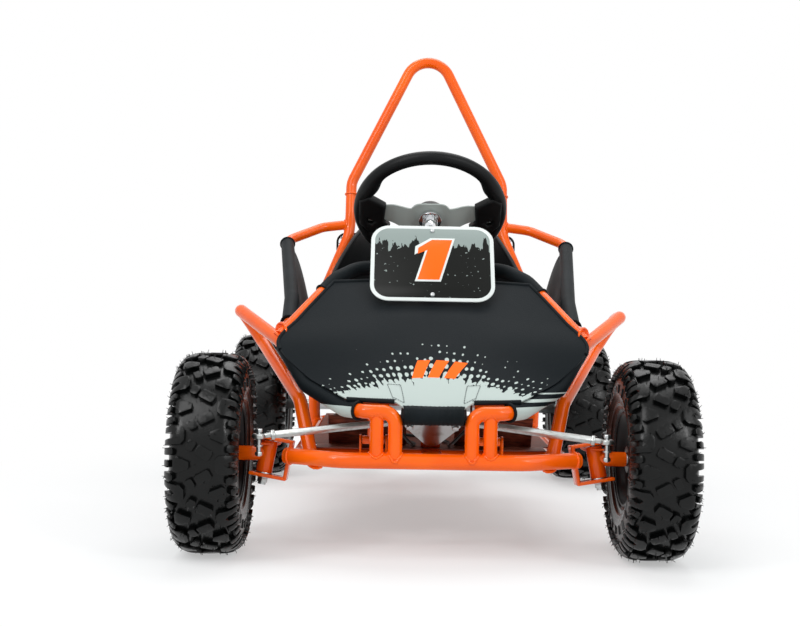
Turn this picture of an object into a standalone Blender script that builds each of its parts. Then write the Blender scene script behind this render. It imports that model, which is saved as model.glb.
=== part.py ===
"""Small off-road go-kart: tube frame, one roll hoop, stretched nose fairing, live rear axle.

Metres, +Z up, +X to the driver's left, -Y forwards. In this file y is measured back from
the front axle and z up from the axle line. at() moves a place to the origin, which lies on
the ground under the middle of the kart.
"""

import math

import bmesh
import bpy
from mathutils import Matrix, Vector

# Whole kart
WHEELBASE = 1.010
FRONT_TRACK = 0.776
REAR_TRACK = 0.800
REAR_OVERHANG = 0.2345
GAP = 0.0003
RUNNING = 0.0005

# Tubes, outside diameters
MAIN_TUBE = 0.028
SIDE_TUBE = 0.025
HOOP_TUBE = 0.025
RAIL_TUBE = 0.022
SLEEVE_TUBE = 0.020
SHEET = 0.002

# Wheels
TYRE_RADIUS = 0.1775
FRONT_TYRE_WIDTH = 0.120
REAR_TYRE_WIDTH = 0.134
CARCASS = 0.009
BEAD_RADIUS = 0.078
RIM_NARROWER = 0.026
RIM_WALL = 0.004
STUB_RADIUS = 0.010
AXLE_RADIUS = 0.0125
LUGS = 11
LUG_HEIGHT = 0.0085
RIM_STEPS = 16

# Steering
KINGPIN_INSET = 0.095
KINGPIN_RADIUS = 0.0075
KINGPIN_LEAN = math.radians(10)
CASTER = math.radians(6)
BRACKET_HEIGHT = 0.072
BRACKET_WALL = 0.006
COLUMN_RISE = math.radians(47.5)
COLUMN_RADIUS = 0.010
COLUMN_LENGTH = 0.556
WHEEL_OUTER = 0.320
WHEEL_GRIP = 0.028
PITMAN_REACH = 0.042
PITMAN_SPREAD = 0.040
ROD_RADIUS = 0.007

# Heights above the axle line
FLOOR_H = -0.012
REAR_RAIL_H = 0.0375
ENGINE_H = 0.122
BED_TOP = REAR_RAIL_H + MAIN_TUBE / 2 + 0.004

# Plan of the frame
BEAM_FORWARD = 0.080
RAIL_HALF = 0.240
REAR_HALF = 0.168
HOOP_AHEAD = 0.280
HOOP_Y = WHEELBASE - HOOP_AHEAD
HOOP_HALF = 0.177
SEAT_HALF = 0.221

# Drive
CHAIN_X = 0.095
CHAIN_PITCH = 0.0127
REAR_TEETH = 37
DRIVE_TEETH = 10
ENGINE_AHEAD = 0.160
DRIVE_AHEAD = 0.085
TOOTH = 0.0032
BRAKE_X = -0.095
BRAKE_RADIUS = 0.075
BRAKE_THICKNESS = 0.004

MIDDLE_Y = (WHEELBASE + REAR_OVERHANG - TYRE_RADIUS) / 2
SIDES = (("left", 1), ("right", -1))


def clear_scene():
    for obj in list(bpy.data.objects):
        bpy.data.objects.remove(obj, do_unlink=True)


def at(x, y, z):
    return Vector((x, y - MIDDLE_Y, z + TYRE_RADIUS))


def collection(name):
    made = bpy.data.collections.new(name)
    bpy.context.scene.collection.children.link(made)
    return made


clear_scene()
PARTS = collection("off_road_go_kart")
CUTTERS = collection("cutters")


def finish(name, colour, roughness, metallic=0.0):
    """A Principled material from an sRGB hex colour."""
    made = bpy.data.materials.new(name)
    made.use_nodes = True
    shader = made.node_tree.nodes["Principled BSDF"]
    parts = [int(colour[i : i + 2], 16) / 255 for i in (0, 2, 4)]
    linear = [c / 12.92 if c <= 0.04045 else ((c + 0.055) / 1.055) ** 2.4 for c in parts]
    shader.inputs["Base Color"].default_value = (*linear, 1)
    shader.inputs["Roughness"].default_value = roughness
    shader.inputs["Metallic"].default_value = metallic
    return made


ORANGE = finish("orange_powder_coat", "FF6A1F", 0.25)
BLACK_FABRIC = finish("black_vinyl_fabric", "23282B", 0.75)
BLACK_PLASTIC = finish("black_plastic", "1A1B1C", 0.4)
RUBBER = finish("tyre_rubber", "191919", 0.6)
GRIP = finish("grip_foam", "151617", 0.7)
ALUMINIUM = finish("cast_aluminium", "A9ADB0", 0.45, 1.0)
STEEL = finish("zinc_plated_steel", "B4B7BA", 0.3, 1.0)
CHROME = finish("chrome", "E2E4E6", 0.08, 1.0)
IRON = finish("black_engine_paint", "2B2D2F", 0.5)
PALE = finish("white_edged_plastic", "D9DEDB", 0.4)


def place(obj, material, home=None):
    """Puts an object in the parts, or in home, with its finish."""
    (home or PARTS).objects.link(obj)
    if material:
        obj.data.materials.append(material)
    return obj


def frame_of(origin, along, side=None):
    """A matrix at origin whose local Z runs along, and local X as near side as it can."""
    z = Vector(along).normalized()
    guess = Vector(side) if side else (Vector((1, 0, 0)) if abs(z.x) < 0.9 else Vector((0, 0, -1)))
    x = (guess - guess.dot(z) * z).normalized()
    y = z.cross(x)
    made = Matrix((x, y, z)).transposed().to_4x4()
    made.translation = origin
    return made


def mesh_object(name, shape, matrix, material, home=None, smooth=True):
    data = bpy.data.meshes.new(name)
    shape.to_mesh(data)
    shape.free()
    if smooth:
        data.shade_smooth()
        data.set_sharp_from_angle(angle=math.radians(35))
    obj = bpy.data.objects.new(name, data)
    obj.matrix_world = matrix
    return place(obj, material, home)


def box(name, size, matrix, material=None, home=None, bevel=0.0):
    """A block of the given size, centred on matrix."""
    shape = bmesh.new()
    bmesh.ops.create_cube(shape, size=1, matrix=Matrix.Diagonal((*size, 1)))
    if bevel:
        bmesh.ops.bevel(shape, geom=shape.edges[:], offset=bevel, segments=1, affect="EDGES")
    return mesh_object(name, shape, matrix, material, home, smooth=False)


def rod(name, start, end, radius, material=None, home=None, sides=12, end_radius=None):
    """A round bar or cone from start to end."""
    along = Vector(end) - Vector(start)
    shape = bmesh.new()
    bmesh.ops.create_cone(
        shape,
        cap_ends=True,
        segments=sides,
        radius1=radius,
        radius2=radius if end_radius is None else end_radius,
        depth=along.length,
    )
    matrix = frame_of((Vector(start) + Vector(end)) / 2, along)
    return mesh_object(name, shape, matrix, material, home)


def rounded(points, radius, step=math.radians(22.5)):
    """The polyline with each inner corner replaced by an arc."""
    points = [Vector(p) for p in points]
    path = [points[0]]
    for before, corner, after in zip(points, points[1:], points[2:]):
        back = before - corner
        ahead = after - corner
        half = back.angle(ahead) / 2
        bend = math.pi - 2 * half
        reach = min(radius / math.tan(half), 0.45 * back.length, 0.45 * ahead.length)
        size = reach * math.tan(half)
        centre = corner + (back.normalized() + ahead.normalized()).normalized() * size / math.sin(half)
        first = (corner + back.normalized() * reach - centre).normalized()
        last = (corner + ahead.normalized() * reach - centre).normalized()
        count = max(2, math.ceil(bend / step))
        path += [centre + first.slerp(last, i / count) * size for i in range(count + 1)]
    path.append(points[-1])
    return path


def smooth_route(points, pieces=2):
    """Catmull-Rom points through a route, for a cable."""
    points = [Vector(p) for p in points]
    padded = [2 * points[0] - points[1], *points, 2 * points[-1] - points[-2]]
    path = []
    for a, b, c, d in zip(padded, padded[1:], padded[2:], padded[3:]):
        for i in range(pieces):
            t = i / pieces
            path.append(
                0.5
                * (
                    2 * b
                    + (c - a) * t
                    + (2 * a - 5 * b + 4 * c - d) * t**2
                    + (3 * b - a - 3 * c + d) * t**3
                )
            )
    path.append(points[-1])
    return path


def curve_tube(name, path, width, material=None, home=None, resolution=2):
    data = bpy.data.curves.new(name, "CURVE")
    data.dimensions = "3D"
    data.bevel_depth = width / 2
    data.bevel_resolution = resolution
    data.use_fill_caps = True
    spline = data.splines.new("POLY")
    spline.points.add(len(path) - 1)
    origin = Vector(path[0])
    for point, place_at in zip(spline.points, path):
        point.co = (*(Vector(place_at) - origin), 1)
    obj = bpy.data.objects.new(name, data)
    obj.location = origin
    return place(obj, material, home)


def as_mesh(obj):
    """The curve object made a welded mesh object, so that it can be cut and joined."""
    bpy.context.view_layer.update()
    graph = bpy.context.evaluated_depsgraph_get()
    data = bpy.data.meshes.new_from_object(obj.evaluated_get(graph))
    shape = bmesh.new()
    shape.from_mesh(data)
    bmesh.ops.remove_doubles(shape, verts=shape.verts[:], dist=0.00001)
    bmesh.ops.recalc_face_normals(shape, faces=shape.faces[:])
    shape.to_mesh(data)
    shape.free()
    data.shade_smooth()
    data.set_sharp_from_angle(angle=math.radians(35))
    name = obj.name
    home = obj.users_collection[0]
    matrix = obj.matrix_world.copy()
    bpy.data.objects.remove(obj, do_unlink=True)
    made = bpy.data.objects.new(name, data)
    made.matrix_world = matrix
    home.objects.link(made)
    return made


def hide(obj):
    """Turns an object into a helper that only a Boolean uses."""
    for home in list(obj.users_collection):
        home.objects.unlink(obj)
    CUTTERS.objects.link(obj)
    obj.hide_render = True
    obj.display_type = "WIRE"


def boolean(target, operation, others):
    for other in others:
        hide(other)
        step = target.modifiers.new(other.name, "BOOLEAN")
        step.operation = operation
        step.solver = "EXACT"
        step.object = other
    return target


def join(target, *others):
    return boolean(target, "UNION", others)


def cut(target, *others):
    return boolean(target, "DIFFERENCE", others)


def tube(name, path, width, material=ORANGE, beside=(), resolution=2):
    """A bent tube along path, coped with a small gap against each (path, width) beside it."""
    made = curve_tube(name, path, width, material, resolution=resolution)
    if not beside:
        return made
    made = as_mesh(made)
    for number, (other, other_width) in enumerate(beside):
        cutter = curve_tube(f"{name}_cope_{number}", other, other_width + 2 * GAP, home=CUTTERS)
        cut(made, as_mesh(cutter))
    return made


def plate(name, outline, thickness, matrix, material=None, home=None, holes=()):
    """A flat outline, with holes, given half its thickness each way along local Z."""
    data = bpy.data.curves.new(name, "CURVE")
    data.dimensions = "2D"
    data.fill_mode = "BOTH"
    data.extrude = thickness / 2
    for line in (outline, *holes):
        spline = data.splines.new("POLY")
        spline.points.add(len(line) - 1)
        for point, (x, y) in zip(spline.points, line):
            point.co = (x, y, 0, 1)
        spline.use_cyclic_u = True
    obj = bpy.data.objects.new(name, data)
    obj.matrix_world = matrix
    return as_mesh(place(obj, material, home))


def turned(name, profile, matrix, material=None, home=None, steps=16, ring=True, turn=0.0):
    """A profile of (radius, height) spun about local Z. It runs down its outer side."""
    data = bpy.data.meshes.new(name)
    corners = [(r, 0, z) for r, z in profile]
    edges = [(i, i + 1) for i in range(len(corners) - 1)]
    if ring:
        edges.append((len(corners) - 1, 0))
    data.from_pydata(corners, edges, [])
    obj = bpy.data.objects.new(name, data)
    obj.matrix_world = matrix @ Matrix.Rotation(turn, 4, "Z")
    spin = obj.modifiers.new("spin", "SCREW")
    spin.steps = steps
    spin.render_steps = steps
    spin.use_merge_vertices = True
    spin.merge_threshold = 0.00001
    spin.use_smooth_shade = True
    return place(obj, material, home)


def circle(radius, count, centre=(0, 0), start=0.0):
    turns = [start + math.tau * i / count for i in range(count)]
    return [(centre[0] + radius * math.cos(t), centre[1] + radius * math.sin(t)) for t in turns]


def clear_of(radius, gap, sides):
    """The corner radius of a polygonal hole that leaves the gap round a bar at its flats."""
    return (radius + gap) / math.cos(math.pi / sides)


def belt(first, first_radius, second, second_radius, count=16):
    """The outline drawn tight round two circles."""
    a = Vector(first)
    b = Vector(second)
    heading = math.atan2(b.y - a.y, b.x - a.x)
    spread = math.acos((first_radius - second_radius) / (b - a).length)
    outline = []
    for i in range(count + 1):
        t = heading + spread + (math.tau - 2 * spread) * i / count
        outline.append((a.x + first_radius * math.cos(t), a.y + first_radius * math.sin(t)))
    for i in range(count // 2 + 1):
        t = heading - spread + 2 * spread * i / (count // 2)
        outline.append((b.x + second_radius * math.cos(t), b.y + second_radius * math.sin(t)))
    return outline


def surface(name, columns, rows, where, thickness, material, offset=0.0):
    """A sheet whose point at (u, w), both from 0 to 1, is where(u, w), given a thickness."""
    shape = bmesh.new()
    bmesh.ops.create_grid(shape, x_segments=columns, y_segments=rows, size=0.5)
    for vertex in shape.verts:
        vertex.co = where(vertex.co.x + 0.5, vertex.co.y + 0.5)
    obj = mesh_object(name, shape, Matrix.Identity(4), material)
    wall = obj.modifiers.new("thickness", "SOLIDIFY")
    wall.thickness = thickness
    wall.offset = offset
    wall.use_even_offset = True
    return obj


def pivot(name, origin):
    """An empty on a joint's axis, which carries the pieces that turn together."""
    empty = bpy.data.objects.new(name, None)
    empty.location = origin
    empty.empty_display_size = 0.05
    PARTS.objects.link(empty)
    bpy.context.view_layer.update()
    return empty


def carry(empty, *pieces):
    for piece in pieces:
        piece.parent = empty
        piece.matrix_parent_inverse = empty.matrix_world.inverted()


def mirrored(points, side):
    return [at(side * x, y, z) for x, y, z in points]


# Paths of the tubes, for the left side, so that neighbours can follow them
FRONT_X = FRONT_TRACK / 2
REAR_X = REAR_TRACK / 2
KINGPIN_X = FRONT_X - KINGPIN_INSET
BEAM_END_X = KINGPIN_X - 0.043
KINGPIN_H = -0.0055
NOSE_H = 0.0845
NOSE_Y = -BEAM_FORWARD - 0.002
NOSE_INNER_X = 0.066
NOSE_POST_X = 0.098

BEAM = [(BEAM_END_X, -0.024, 0), (0.160, -BEAM_FORWARD, 0)]
BEAM_PATH = rounded(mirrored(BEAM, -1) + mirrored(BEAM[::-1], 1), 0.08)

RAIL = [
    (0.205, -0.047, -0.004),
    (RAIL_HALF, 0.110, FLOOR_H),
    (RAIL_HALF, HOOP_Y - 0.030, FLOOR_H),
    (REAR_HALF, HOOP_Y + 0.020, FLOOR_H),
    (REAR_HALF, HOOP_Y + 0.085, REAR_RAIL_H),
    (REAR_HALF, WHEELBASE + 0.120, REAR_RAIL_H),
]
GUARD = [
    (0.2143, 0.000, FLOOR_H + 0.006),
    (0.240, 0.060, 0.0905),
    (0.328, 0.268, 0.184),
    (0.374, 0.314, 0.243),
    (0.372, 0.238, 0.249),
    (0.279, 0.080, 0.1965),
    (0.225, 0.008, 0.1225),
    (0.155, -0.050, 0.0865),
    (0.116, NOSE_Y, NOSE_H),
    (NOSE_INNER_X, NOSE_Y, NOSE_H),
    (NOSE_INNER_X, NOSE_Y, 0.005),
]
DASH = [
    (0.2800, 0.0870, 0.2050),
    (0.2180, 0.1650, 0.2765),
    (0.1850, 0.2080, 0.3140),
    (0.1400, 0.2500, 0.3375),
]
DASH_TOP = (0, 0.2550, 0.3375)
HOOP = [
    (HOOP_HALF, HOOP_Y + 0.0125, 0.5212),
    (HOOP_HALF, HOOP_Y + 0.0186, 0.5463),
]
HOOP_TOP = (0, HOOP_Y + 0.0650, 0.9061)
LEG = [
    (HOOP_HALF, HOOP_Y, 0.4700),
    (HOOP_HALF + 0.002, HOOP_Y - 0.004, 0.4250),
    (0.228, HOOP_Y - 0.075, 0.2975),
    (0.252, HOOP_Y - 0.105, 0.1525),
    (0.246, HOOP_Y - 0.115, FLOOR_H + 0.004),
]
ARM = [
    (HOOP_HALF + 0.004, HOOP_Y, 0.4470),
    (0.240, HOOP_Y - 0.012, 0.4390),
    (0.318, HOOP_Y - 0.074, 0.4040),
    (0.2775, 0.300, 0.2745),
    (0.2725, 0.180, 0.2245),
    (0.2785, 0.102, 0.2190),
]

COLUMN_UP = Vector((0, math.cos(COLUMN_RISE), math.sin(COLUMN_RISE)))
COLUMN_FACE = Vector((0, -math.sin(COLUMN_RISE), math.cos(COLUMN_RISE)))
COLUMN_FOOT = at(0, 0.020, 0.036)


def on_column(distance, across=0.0, up=0.0):
    """A place along the steering column, and off it across the kart and up its face."""
    return COLUMN_FOOT + COLUMN_UP * distance + Vector((across, 0, 0)) + COLUMN_FACE * up


def column_frame(distance):
    """Local Z up the column, local Y up its face."""
    return frame_of(on_column(distance), COLUMN_UP, (-1, 0, 0))


def kingpin_axis(side):
    return Vector((-side * math.tan(KINGPIN_LEAN), math.tan(CASTER), 1)).normalized()


def kingpin_frame(side):
    """Local Z up the kingpin, local X outwards."""
    return frame_of(at(side * KINGPIN_X, 0, KINGPIN_H), kingpin_axis(side), (side, 0, 0))


def shifted(matrix, x=0.0, y=0.0, z=0.0):
    return matrix @ Matrix.Translation((x, y, z))


def front_beam():
    """Bowed tube with a channel bracket for each kingpin and two nose posts."""
    beam = as_mesh(curve_tube("front_beam", BEAM_PATH, MAIN_TUBE, ORANGE))
    for name, side in SIDES:
        local = kingpin_frame(side)
        depth = 0.067
        channel = box(
            f"kingpin_channel_{name}",
            (depth, 0.050, BRACKET_HEIGHT),
            shifted(local, x=depth / 2 - 0.0425),
        )
        mouth = box(
            f"channel_mouth_{name}",
            (depth, 0.060, BRACKET_HEIGHT - 2 * BRACKET_WALL),
            shifted(local, x=depth / 2 - 0.0425 + BRACKET_WALL),
        )
        hole = rod(
            f"kingpin_hole_{name}",
            local @ Vector((0, 0, -0.06)),
            local @ Vector((0, 0, 0.06)),
            KINGPIN_RADIUS + GAP,
            sides=12,
        )
        cut(channel, mouth, hole)
        post = rod(
            f"nose_post_{name}",
            at(side * NOSE_POST_X, -BEAM_FORWARD, 0),
            at(side * NOSE_POST_X, -BEAM_FORWARD, NOSE_H - 0.3 * SIDE_TUBE),
            SIDE_TUBE / 2 - 0.0005,
            sides=12,
        )
        cope = curve_tube(
            f"post_cope_{name}", guard_path(side), SIDE_TUBE + 2 * GAP, home=CUTTERS
        )
        cut(post, as_mesh(cope))
        join(beam, channel, post)


def kingpins():
    head = BRACKET_HEIGHT / 2 + GAP
    for name, side in SIDES:
        local = kingpin_frame(side)
        profile = [
            (0, head + 0.008),
            (0.0115, head + 0.008),
            (0.0125, head),
            (KINGPIN_RADIUS, head),
            (KINGPIN_RADIUS, -head),
            (0.0120, -head),
            (0.0120, -head - 0.010),
            (KINGPIN_RADIUS - 0.001, -head - 0.010),
            (KINGPIN_RADIUS - 0.001, -head - 0.014),
            (0, -head - 0.014),
        ]
        turned(f"kingpin_{name}", profile, local, STEEL, steps=10, ring=False)


def guard_path(side):
    return rounded(mirrored(GUARD, side), 0.032)


def rail_path(side):
    return rounded(mirrored(RAIL, side), 0.06)


def leg_path(side):
    return rounded(mirrored(LEG, side), 0.08)


def arm_path(side):
    return rounded(mirrored(ARM, side), 0.045)


def dash_path():
    ends = mirrored(DASH, -1), mirrored(DASH[::-1], 1)
    return rounded([*ends[0], at(*DASH_TOP), *ends[1]], 0.06)


def rails_and_guards():
    for name, side in SIDES:
        tube(f"floor_rail_{name}", rail_path(side), MAIN_TUBE, beside=[(BEAM_PATH, MAIN_TUBE)])
        tube(
            f"side_guard_{name}",
            guard_path(side),
            SIDE_TUBE,
            beside=[(rail_path(side)[:8], MAIN_TUBE), (BEAM_PATH, MAIN_TUBE)],
        )


def number_plate_frame():
    return frame_of(at(0, 0.1705, 0.347), (0, -0.145, 0.101), (1, 0, 0))


PLATE_SIZE = (0.236, 0.177)
PLATE_THICKNESS = 0.003


def dash_hoop():
    """Hoop under the steering column, with its bush and the strap for the number plate."""
    hoop = as_mesh(curve_tube("dash_hoop", dash_path(), SIDE_TUBE, ORANGE))
    crown = (at(*DASH_TOP) - COLUMN_FOOT).dot(COLUMN_UP)
    bush = rod("column_bush", on_column(crown - 0.014), on_column(crown + 0.014), 0.0195)
    web = box("bush_web", (0.022, 0.020, 0.024), column_frame(crown) @ Matrix.Translation((0, 0.020, 0)))
    back = number_plate_frame()
    strap = box(
        "plate_strap",
        (0.030, PLATE_SIZE[1] - 0.030, 0.003),
        shifted(back, z=-PLATE_THICKNESS - GAP - 0.0005),
    )
    stem = rod("plate_stem", at(*DASH_TOP), back @ Vector((0, 0, -0.0078)), 0.009)
    bore = rod(
        "column_bore",
        on_column(crown - 0.05),
        on_column(crown + 0.05),
        clear_of(COLUMN_RADIUS, RUNNING, 12),
    )
    copes = [
        as_mesh(curve_tube(f"dash_cope_{name}", guard_path(side), SIDE_TUBE + 2 * GAP))
        for name, side in SIDES
    ]
    join(hoop, bush, web, stem, strap)
    cut(hoop, bore, *copes)


def number_plate():
    width, height = PLATE_SIZE
    corner = 0.036
    outline = []
    for number, (x, y) in enumerate(((1, 1), (-1, 1), (-1, -1), (1, -1))):
        for i in range(6):
            turn = math.pi / 2 * (number + i / 5)
            outline.append(
                (
                    x * (width / 2 - corner) + corner * math.cos(turn),
                    y * (height / 2 - corner) + corner * math.sin(turn),
                )
            )
    plate(
        "number_plate",
        outline,
        PLATE_THICKNESS,
        shifted(number_plate_frame(), z=PLATE_THICKNESS / 2 - 0.0015),
        PALE,
    )


PEDAL_X = 0.105
PEDAL_Y = 0.045
PEDAL_H = 0.022
CROSSBAR_Y = 0.090


def column_foot():
    """Front crossbar with the column's lower bearing and the pedals' ears."""
    reach = RAIL_HALF - 0.0075
    foot = tube(
        "column_foot",
        [at(-reach, CROSSBAR_Y, FLOOR_H), at(reach, CROSSBAR_Y, FLOOR_H)],
        MAIN_TUBE,
        beside=[(rail_path(1)[:4], MAIN_TUBE), (rail_path(-1)[:4], MAIN_TUBE)],
    )
    front = -BEAM_FORWARD + MAIN_TUBE / 2 + 0.0006
    back = 0.106
    strip = box(
        "foot_strip",
        (0.036, back - front, 0.005),
        Matrix.Translation(at(0, (front + back) / 2, 0.0015)),
    )
    bearing = 0.032
    upright = box(
        "foot_upright",
        (0.036, 0.094, 0.004),
        column_frame(bearing) @ Matrix.Translation((0, -0.037, 0)),
    )
    ring = rod("foot_ring", on_column(bearing - 0.010), on_column(bearing + 0.010), 0.0170)
    bore = rod(
        "foot_bore",
        on_column(bearing - 0.04),
        on_column(bearing + 0.04),
        clear_of(COLUMN_RADIUS, RUNNING, 12),
    )
    join(foot, strip, upright, ring)
    for x in (-PEDAL_X, PEDAL_X):
        for ear_x in (-0.0235, 0.0235):
            ear = box(
                f"pedal_ear_{x}_{ear_x}",
                (0.004, 0.062, 0.048),
                Matrix.Translation(at(x + ear_x, PEDAL_Y + 0.022, PEDAL_H - 0.014)),
            )
            join(foot, ear)
    cut(foot, bore)


def floor_pan():
    """Pressed floor sheet with a toe board and the riser under the seat's front."""
    top = FLOOR_H + MAIN_TUBE / 2 + GAP
    half = RAIL_HALF - MAIN_TUBE / 2
    front = 0.130
    back = HOOP_Y
    riser_y = HOOP_Y - 0.245
    sheet = box(
        "floor_pan",
        (2 * half, back - front, SHEET),
        Matrix.Translation(at(0, (front + back) / 2, top + SHEET / 2)),
        ORANGE,
    )
    lean = math.atan2(0.032, 0.0545)
    for name, side in SIDES:
        board = box(
            f"toe_board_{name}",
            (0.145, SHEET, 0.068),
            Matrix.Translation(at(side * 0.1175, front - 0.0150, top + 0.0285))
            @ Matrix.Rotation(lean, 4, "X"),
        )
        join(sheet, board)
    rise = 0.0804
    bridge = box("riser_top", (0.200, 0.036, 0.003), Matrix.Translation(at(0, riser_y, top + rise)))
    join(sheet, bridge)
    for side in (-1, 1):
        leg = box(
            f"riser_leg_{side}",
            (0.003, 0.036, rise),
            Matrix.Translation(at(side * 0.0985, riser_y, top + rise / 2 + 0.0005)),
        )
        join(sheet, leg)


SEAT_LINE = [
    (-0.305, 0.0870),
    (-0.288, 0.0960),
    (-0.220, 0.0860),
    (-0.140, 0.0700),
    (-0.090, 0.0690),
    (-0.055, 0.0845),
    (-0.037, 0.1225),
    (-0.027, 0.1825),
    (-0.019, 0.2525),
    (-0.013, 0.3225),
    (-0.008, 0.3825),
    (-0.005, 0.4300),
]
SEAT_FLAT = 0.6
SEAT_WALL = 0.004
SEAT_WING = [
    (0.185, -0.300, 0.110),
    (0.198, -0.285, 0.135),
    (0.212, -0.255, 0.165),
    (0.219, -0.225, 0.200),
    (0.222, -0.200, 0.235),
    (0.221, -0.180, 0.264),
    (0.218, -0.162, 0.294),
    (0.211, -0.140, 0.324),
    (0.198, -0.114, 0.356),
    (0.181, -0.090, 0.388),
    (0.165, -0.064, 0.415),
    (0.152, -0.040, 0.433),
]


def between(values, share):
    """The value a share of the way along an evenly spaced list, with its parts joined straight."""
    place_in = min(max(share, 0), 1) * (len(values) - 1)
    first = min(int(place_in), len(values) - 2)
    rest = place_in - first
    return [a + (b - a) * rest for a, b in zip(values[first], values[first + 1])]


def seat_point(u, w):
    """A place on the seat: u runs across it, w from the front of the base to the top."""
    across = 2 * u - 1
    y, h = between(SEAT_LINE, w)
    wing_x, wing_y, wing_h = between(SEAT_WING, w)
    bank = max(0, (abs(across) - SEAT_FLAT) / (1 - SEAT_FLAT)) ** 1.5
    wide = across * (wing_x + SEAT_HALF - SEAT_WING[4][0])
    return at(wide, HOOP_Y + y + (wing_y - y) * bank, h + (wing_h - h) * bank)


def seat_normal(share):
    """The direction out of the seat's face at a share of the way up its middle line."""
    ahead = seat_point(0.5, min(share + 0.04, 1))
    behind = seat_point(0.5, max(share - 0.04, 0))
    return Vector((1, 0, 0)).cross(ahead - behind).normalized()


def cushion(name, low, high, thickness, material):
    """A crowned pad laid on the seat's middle, from one share of its line to another."""
    shape = bmesh.new()
    bmesh.ops.create_cube(shape, size=1)
    bmesh.ops.subdivide_edges(shape, edges=shape.edges[:], cuts=3, use_grid_fill=True)
    for vertex in shape.verts:
        across, along, up = vertex.co * 2
        draw = 0.06 * max(0, abs(up) - 0.3)
        share = low + (high - low) * (along * (1 - draw) + 1) / 2
        crown = 1.0 - 0.40 * across**4 - 0.35 * along**4
        lift = SEAT_WALL / 2 + 0.0012 + thickness * crown * (up + 1) / 2
        side = across * (1 - draw) * SEAT_FLAT * 0.97 / 2
        vertex.co = seat_point(0.5 + side, share) + seat_normal(share) * lift
    return mesh_object(name, shape, Matrix.Identity(4), material)


def seat():
    surface("seat_shell", 10, 11, seat_point, SEAT_WALL, BLACK_PLASTIC)
    cushion("seat_cushion", 0.105, 0.37, 0.042, BLACK_FABRIC)
    cushion("backrest_cushion", 0.56, 0.97, 0.036, BLACK_FABRIC)
    radius = RAIL_TUBE / 2
    height = 0.0690 - 0.002 - GAP - radius - 0.0008
    reach = 0.2470 - HOOP_TUBE / 2 - GAP - 0.0005
    y = HOOP_Y - 0.111
    rod("seat_crossbar", at(-reach, y, height), at(reach, y, height), radius, ORANGE)


def hoops_and_arms():
    route = [*mirrored(HOOP, -1), at(*HOOP_TOP), *mirrored(HOOP[::-1], 1)]
    curve_tube("roll_hoop", rounded(route, 0.054), HOOP_TUBE, ORANGE)
    for name, side in SIDES:
        leg = tube(f"hoop_leg_{name}", leg_path(side), HOOP_TUBE, beside=[(rail_path(side), MAIN_TUBE)])
        stub = rod(
            f"hoop_sleeve_{name}",
            at(side * HOOP_HALF, HOOP_Y - 0.0012, 0.4650),
            at(side * HOOP_HALF, HOOP_Y + 0.0124, 0.5207),
            SLEEVE_TUBE / 2,
        )
        join(leg, stub)
        tube(
            f"arm_rail_{name}",
            arm_path(side),
            RAIL_TUBE,
            beside=[(leg_path(side), HOOP_TUBE), (dash_path(), SIDE_TUBE), (guard_path(side), SIDE_TUBE)],
        )


ARM_PAD_TOP = [ARM[2], ARM[3], ARM[4]]
ARM_PAD_FOOT = [(0.264, HOOP_Y - 0.078, 0.235), (0.263, 0.340, 0.172), (0.266, 0.196, 0.160)]


def arm_pads():
    """Padded fabric panel on each arm rail: a sleeve round the tube and a sheet below it."""
    sleeve_wall = 0.0035
    for name, side in SIDES:
        arm = arm_path(side)
        first = min(range(len(arm)), key=lambda i: (arm[i] - at(side * 0.316, HOOP_Y - 0.094, 0.396)).length)
        last = len(arm) - 3
        covered = [arm[first], *arm[first + 1 : last]]

        def where(u, w, side=side):
            top = between([ARM_PAD_TOP[0], ARM_PAD_TOP[1], ARM_PAD_TOP[2]], 0.06 + 0.90 * u)
            foot = between(ARM_PAD_FOOT, u)
            drop = w**0.55
            return at(
                side * (top[0] + (foot[0] - top[0]) * drop),
                top[1] + (foot[1] - top[1]) * w,
                top[2] + (foot[2] - top[2]) * w,
            )

        pad = surface(f"arm_pad_{name}", 6, 3, where, 0.008, BLACK_FABRIC)
        sleeve = as_mesh(curve_tube(f"arm_sleeve_{name}", covered, RAIL_TUBE + 2 * sleeve_wall))
        bore = as_mesh(curve_tube(f"arm_bore_{name}", arm, RAIL_TUBE + 2 * GAP))
        join(pad, sleeve)
        cut(pad, bore)


FAIRING_MIDDLE = [
    (-0.0885, 0.1010),
    (-0.048, 0.1340),
    (0.005, 0.1735),
    (0.062, 0.2150),
    (0.110, 0.2490),
    (0.160, 0.2840),
    (0.205, 0.3145),
]
FAIRING_EDGE = [
    (0.150, -0.0605, 0.1035),
    (0.178, -0.0380, 0.1150),
    (0.228, 0.0020, 0.1400),
    (0.281, 0.0520, 0.1930),
    (0.246, 0.1060, 0.2400),
    (0.210, 0.1560, 0.2830),
    (0.188, 0.1860, 0.3080),
]


def fairing_point(u, w):
    """A place on the nose fairing: u across, w from the bottom hem to the top."""
    across = 2 * u - 1
    y, h = between(FAIRING_MIDDLE, w)
    edge_x, edge_y, edge_h = between(FAIRING_EDGE, w)
    share = abs(across) ** 1.6
    crown = 0.004 * math.sin(math.pi * w) * (1 - across**2)
    hem = 0.0110 * (1 - w) ** 8 * min(1, max(0, (0.44 - abs(across)) / 0.10))
    return at(
        across * edge_x,
        y + (edge_y - y) * share - crown * 0.6,
        h + (edge_h - h) * share + crown * 0.8 - hem,
    )


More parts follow.
